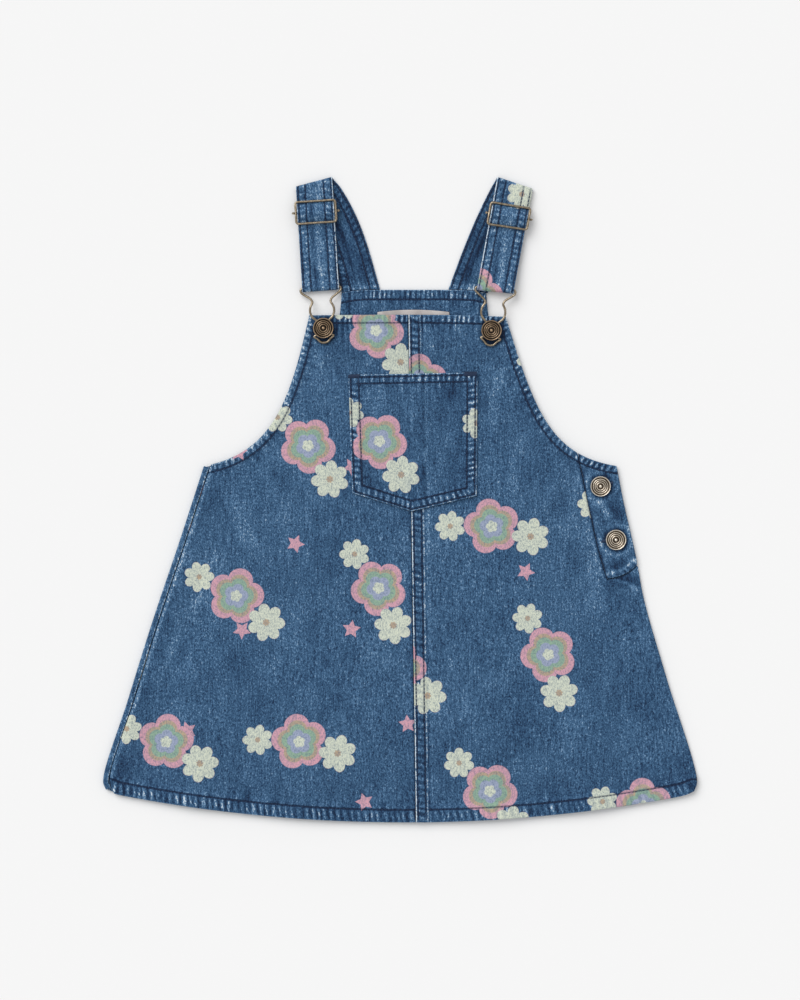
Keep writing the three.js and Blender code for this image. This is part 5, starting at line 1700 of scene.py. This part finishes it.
def strap_fields(strap, middle, fold_row, seed):
    """Wear, puckers and the soft crease down the middle of a strap, and its thickness."""
    a = np.broadcast_to(STRAP_COLUMNS, middle.shape[:2])
    along = np.broadcast_to(lengths(middle[:, len(STRAP_COLUMNS) // 2])[:, None], a.shape)
    row = np.arange(len(middle))[:, None]
    edge = STRAP_HALF - np.abs(a)
    front = smooth(fold_row + 3, fold_row + 10, row)
    rub = np.where(a * strap["inner"] > 0, mix(0.25, 1.25, front), 0.1)
    wave = rungs(along + 0.3 * edge + 40 * (a > 0), 4.8, seed) * bell(edge - 4.5, 2.6)
    lasting = smooth(-0.5, 0.4, ripple(along, 18, seed + 2) + 0.3)
    from_crease = a - 1.2 * ripple(along, 26, seed + 1)
    crease = wear_and_shade_lines(from_crease, [(-3.2, 1.6, -0.2), (1.5, 2.4, 0.14)]) * lasting
    slant = -0.1 - 0.14 * bell(a * strap["inner"] + along * 0.16 - 8, 2.2)
    streak = 0.1 * patches(a * 2.2, along * 0.45, 5, seed + 3)
    base = bell(np.maximum(along - 0.6, 0), 4.2) * (0.28 + 0.3 * rungs(a, 4.4, seed + 4))
    at_fold = 0.1 * bell(row - (fold_row + 7), 6.0)
    worn = 0.26 * wave + crease + slant * (row < fold_row) + streak + 0.07 * front + base + at_fold
    rows = {"row_a": np.full(a.shape, STRAP_ROWS["edge"]), "row_b": np.full(a.shape, STRAP_ROWS["inner"])}
    groove = bell(edge - STRAP_ROWS["edge"], 0.5) + bell(edge - STRAP_ROWS["inner"], 0.6)
    thin = 0.3 * groove + 0.16 * bell(a - 1.2, 1.8) - 0.1 * wave + 2 * rounding(edge, 0.55)
    return {"edge": edge, **rows, "rub": rub, "worn": worn}, STRAP_WALL - np.maximum(thin, 0)


def make_strap(strap, seed):
    way = strap_plan(strap)
    middle, fold_row, front_row, bar_row = strap_rows(strap, way)
    fields, thickness = strap_fields(strap, middle, fold_row, seed)
    ends = rim_distance(middle, ("bottom", "top"))
    one, other = even_wall(middle, thickness - 2 * rounding(ends, 0.4))
    name = "strap_" + strap["side"]
    cloth = denim("denim_" + name, (48, -24), strap["inner"] * 12, with_print=False, bits=strap.get("bits"))
    made = stands_for(shell(name + "_cloth", one, other, [cloth, cloth], fields, coarse=1), name)
    runs = []
    for offset in (STRAP_ROWS["edge"], STRAP_ROWS["inner"]):
        for side in (-1, 1):
            column = int(np.abs(STRAP_COLUMNS - side * (STRAP_HALF - offset)).argmin())
            share = (side * (STRAP_HALF - offset) - STRAP_COLUMNS[column])
            nudge = unit(middle[10, column + 1] - middle[10, column - 1]) * share
            runs.append(one[2:fold_row - 1, column] + nudge)
            runs.append(other[front_row + 1:bar_row, column] + nudge)
    foot = middle[0] * [1, 1, 0] + [0, -GAP, CLOTH]
    runs.append(foot[2:-2])
    thread = sew(name + "_thread", runs, seed + 20)
    flat = (2 * STRAP_HALF, lengths(middle[:, len(STRAP_COLUMNS) // 2])[-1])
    return made, thread, way, flat


straps = {strap["side"]: make_strap(strap, 700 + 40 * k) for k, strap in enumerate(STRAPS)}
for side, (made, thread, way, flat) in straps.items():
    print("strap", side, "is a strip of", [round(v, 1) for v in flat], "mm")

# %% [markdown]
# ## Wire fittings and buttons
# The sliders and buckles are bent from one gauge of wire, so each is a round tube along its bends. A tack
# button is turned metal: a rolled rim, a sunk ring, a raised ring and a small dome, all from one profile
# spun round its shank. Old brass is dark in its hollows and bright where it is rubbed.

# %% Antique brass
def brass(name, dark, middle, bright, roughness, rings=None):
    """Brass with dark hollows. rings says that the piece is a turned button, whose profile sets the hollows.
    """
    material, shade = new_material(name)
    place = shade.place()
    stain = shade.noise(place, 420.0, 3.0)
    fine = shade.noise(place, 2200.0, 2.0)
    tone = (stain - 0.5) * 0.9 + (fine - 0.5) * 0.5 + 0.5
    if rings:
        tone = tone * 0.6 + shade.attribute("bright") * 0.9 - 0.25
    colour = shade.ramp([(0, dark), (0.5, middle), (1, bright)], tone)
    gloss = (stain * -0.25 + (roughness + 0.12)).at_least(0.15)
    output_surface(shade, {"Metallic": 0.85}, {"Base Color": colour, "Roughness": gloss,
                                               "Normal": bump(shade, fine + stain, 0.06, 0.4)})
    return material


WIRE_BRASS = brass("wire_antique_brass", "#3A322A", "#8C7F6C", "#D8CBB4", 0.3)
BIB_BRASS = brass("button_antique_brass", "#17110D", "#4E3F32", "#AC9376", 0.36, rings=True)
SIDE_BRASS = brass("button_rubbed_brass", "#2A211A", "#857461", "#F2E9D8", 0.32, rings=True)


def tube(name, line, closed, material, sides=14):
    """A round wire along a line of points."""
    way = np.gradient(line, axis=0)
    if closed:
        line = line[:-1]
        way = np.roll(line, -1, 0) - np.roll(line, 1, 0)
    way /= np.linalg.norm(way, axis=1)[:, None]
    side = np.cross(way, [0, 0, 1.0])
    side /= np.linalg.norm(side, axis=1)[:, None]
    up = np.cross(side, way)
    angle = np.linspace(0, 2 * math.pi, sides, endpoint=False)[None, :, None]
    rings = line[:, None] + WIRE * (np.cos(angle) * side[:, None] + np.sin(angle) * up[:, None])
    count = len(line)
    faces = []
    for i in range(count if closed else count - 1):
        for k in range(sides):
            a, b, above = i * sides + k, i * sides + (k + 1) % sides, ((i + 1) % count) * sides
            faces.append([a, b, above + (k + 1) % sides, above + k])
    if not closed:
        faces.append(list(range(sides))[::-1])
        faces.append(list(range(sides * (count - 1), sides * count)))
    return finish_mesh(name, new_mesh(name, rings.reshape(-1, 3), faces), [material], upside_down=True)


# %% Sliders
CORNERS = table(("a", "b", "turn"), [(1, 1, 0), (-1, 1, 90), (-1, -1, 180), (1, -1, 270)])


def slider_frame(strap, way):
    half, bend = SLIDER["half"] - WIRE, SLIDER["corner"]
    stops = []
    for corner in CORNERS:
        for turn in (0, 30, 60, 90):
            angle = math.radians(corner["turn"] + turn)
            stops.append((corner["a"] * (half - bend) + bend * math.cos(angle),
                          corner["b"] * (BAR_RISE - bend) + bend * math.sin(angle)))
        if corner["a"] * corner["b"] < 0:
            stops += [(corner["a"] * half, corner["b"] * 2), (corner["a"] * half, -corner["b"] * 2)]
        else:
            stops += [(corner["a"] * 6, corner["b"] * BAR_RISE), (-corner["a"] * 6, corner["b"] * BAR_RISE)]
    a, b = np.array(stops).T
    tilted = SLIDER_FRAME_Z + SLIDER_TILT * b / BAR_RISE
    return through(front_points(way, a, strap["slider_at"] + b, tilted), True, 8)


def slider_bar(strap, way):
    end = SLIDER["bar_end"]
    a = np.array([-end, -end + 0.2, -end + 1.1, -8, 8, end - 1.1, end - 0.2, end])
    rise = np.array([1.5, 0.5, 0, 0, 0, 0, 0.5, 1.5])
    return through(front_points(way, a, np.full(8, strap["slider_at"]), SLIDER_BAR_Z + rise), False, 10)


for strap in STRAPS:
    side, way = strap["side"], straps[strap["side"]][2]
    frame_wire = tube("slider_frame_" + side + "_wire", slider_frame(strap, way), True, WIRE_BRASS)
    stands_for(frame_wire, "slider_frame_" + side)
    bar_wire = tube("slider_bar_" + side + "_wire", slider_bar(strap, way), False, WIRE_BRASS)
    stands_for(bar_wire, "slider_bar_" + side)

# %% Buckles
BUCKLE = [
    # half its width, and how far below its bar
    (15.4, 0), (16.6, 1.1), (16.4, 3), (13.6, 5.5), (8.6, 9.4), (7.6, 12), (9.4, 15.7), (10, 19.9),
    (8.6, 23.9), (5, 27.7), (3.6, 31.5), (3.6, 35.8), (5.6, 38.8), (8, 40.6), (5.6, 42.4), (3, 45.2),
]
BUCKLE_BOTTOM = 46


def buckle_seat(strap):
    """The highest that the front lies under a buckle."""
    x, y = np.meshgrid(np.arange(-10, 10.1, 2.5), np.arange(-16, 16.1, 2))
    return front_heights(strap["button"][0] + x, np.minimum(strap["button"][1] + y, BIB_TOP))[0].max()


def buckle_line(strap, way):
    high = buckle_seat(strap) + GAP + WIRE
    across = np.array([-way["buckle_down"][1], way["buckle_down"][0]])
    other_side = [(-half, down) for half, down in BUCKLE[::-1]]
    stops = [(-8, 0), (0, 0), (8, 0), *BUCKLE, (0, BUCKLE_BOTTOM), *other_side]
    half, down = np.array(stops, float).T
    stretched = np.outer(down * way["reach"] / BUTTON_AT, way["buckle_down"])
    flat = way["bar"] + stretched + np.outer(half, across)
    z = mix(way["bar_z"], high, smooth(0, 17, down))
    return through(np.concatenate([flat, z[:, None]], 1), True, 8), high


# %% Buttons
BUTTON_HEIGHT, SHANK_RADIUS, BUTTON_SIDES = 2.2, 2.2, 56
BUTTON_COLUMNS = ("r", "h", "bright")  # radius, share of its height, how bright the metal is rubbed there
BUTTON_EDGE = table(BUTTON_COLUMNS, [
    (7.6, 0.0, 0.3), (8.2, 0.08, 0.4), (8.48, 0.3, 0.7), (8.5, 0.55, 0.9),
    (8.3, 0.8, 1.0), (7.95, 0.93, 1.0), (7.6, 0.88, 0.6), (7.3, 0.66, 0.1),
])
BUTTON_RING = table(BUTTON_COLUMNS, [
    (0.5, 0.5, 0.0), (0.25, 0.66, 0.85), (-0.15, 0.66, 0.85), (-0.4, 0.5, 0.0),
])
BUTTON_RINGS = [6.0, 4.5, 3.0]
BUTTON_DOME = table(BUTTON_COLUMNS, [
    (2.0, 0.48, 0.0), (1.5, 0.52, 0.05), (1.25, 0.72, 0.6),
    (0.9, 0.9, 1.0), (0.5, 0.98, 1.0), (0.0, 1.0, 1.0),
])


def button_profile():
    rings = [{**row, "r": r + row["r"]} for r in BUTTON_RINGS for row in BUTTON_RING]
    return [*BUTTON_EDGE, *rings, *BUTTON_DOME]


def button(name, x, y, disc, seat, material):
    """A tack button: its profile spun round its shank."""
    profile = [(0.0, seat, 0.3), (SHANK_RADIUS, seat, 0.3), (SHANK_RADIUS, disc, 0.3)]
    profile += [(row["r"], disc + row["h"] * BUTTON_HEIGHT, row["bright"]) for row in button_profile()]
    sides, rings = BUTTON_SIDES, len(profile) - 2
    points, bright, faces = [(x, y, profile[0][1])], [0.3], []
    for r, z, shine in profile[1:-1]:
        for k in range(sides):
            angle = 2 * math.pi * k / sides
            points.append((x + r * math.cos(angle), y + r * math.sin(angle), z))
            bright.append(shine)
    points.append((x, y, profile[-1][1]))
    bright.append(profile[-1][2])
    last = len(points) - 1
    for k in range(sides):
        after = (k + 1) % sides
        faces.append([0, 1 + after, 1 + k])
        for ring in range(rings - 1):
            low, high = 1 + ring * sides, 1 + (ring + 1) * sides
            faces.append([low + k, low + after, high + after, high + k])
        faces.append([last - sides + k, last - sides + after, last])
    mesh = new_mesh(name, points, faces)
    mesh.attributes.new("bright", "FLOAT", "POINT").data.foreach_set("value", np.array(bright, np.float32))
    return finish_mesh(name, mesh, [material])


for strap in STRAPS:
    side, way = strap["side"], straps[strap["side"]][2]
    line, high = buckle_line(strap, way)
    buckle_wire = tube("buckle_" + side + "_wire", line, True, WIRE_BRASS)
    stands_for(buckle_wire, "buckle_" + side)
    place = np.array(strap["button"])
    seat = front_heights(*place[:, None])[0][0] + GAP
    made = button("bib_button_" + side + "_turned", *place, high + WIRE + GAP, seat, BIB_BRASS)
    stands_for(made, "bib_button_" + side)
for place in SIDE_BUTTONS:
    disc = float(placket_seat(np.array(place["x"]), np.array(place["y"]))) + PLACKET_WALL + GAP
    made = button(place["name"] + "_turned", place["x"], place["y"], disc, CLOTH + GAP, SIDE_BRASS)
    stands_for(made, place["name"])

# %% [markdown]
# ## The cloth's sizes
# Each sheet's flat size is the size of its cut as it shows. The straps are measured along their whole
# strip. These lines only work out the front right's area and the straps' sizes in metres.

# %% Sheets


flat_area(right_grid)
for made, thread, way, flat in straps.values():
    [v * MM for v in flat]
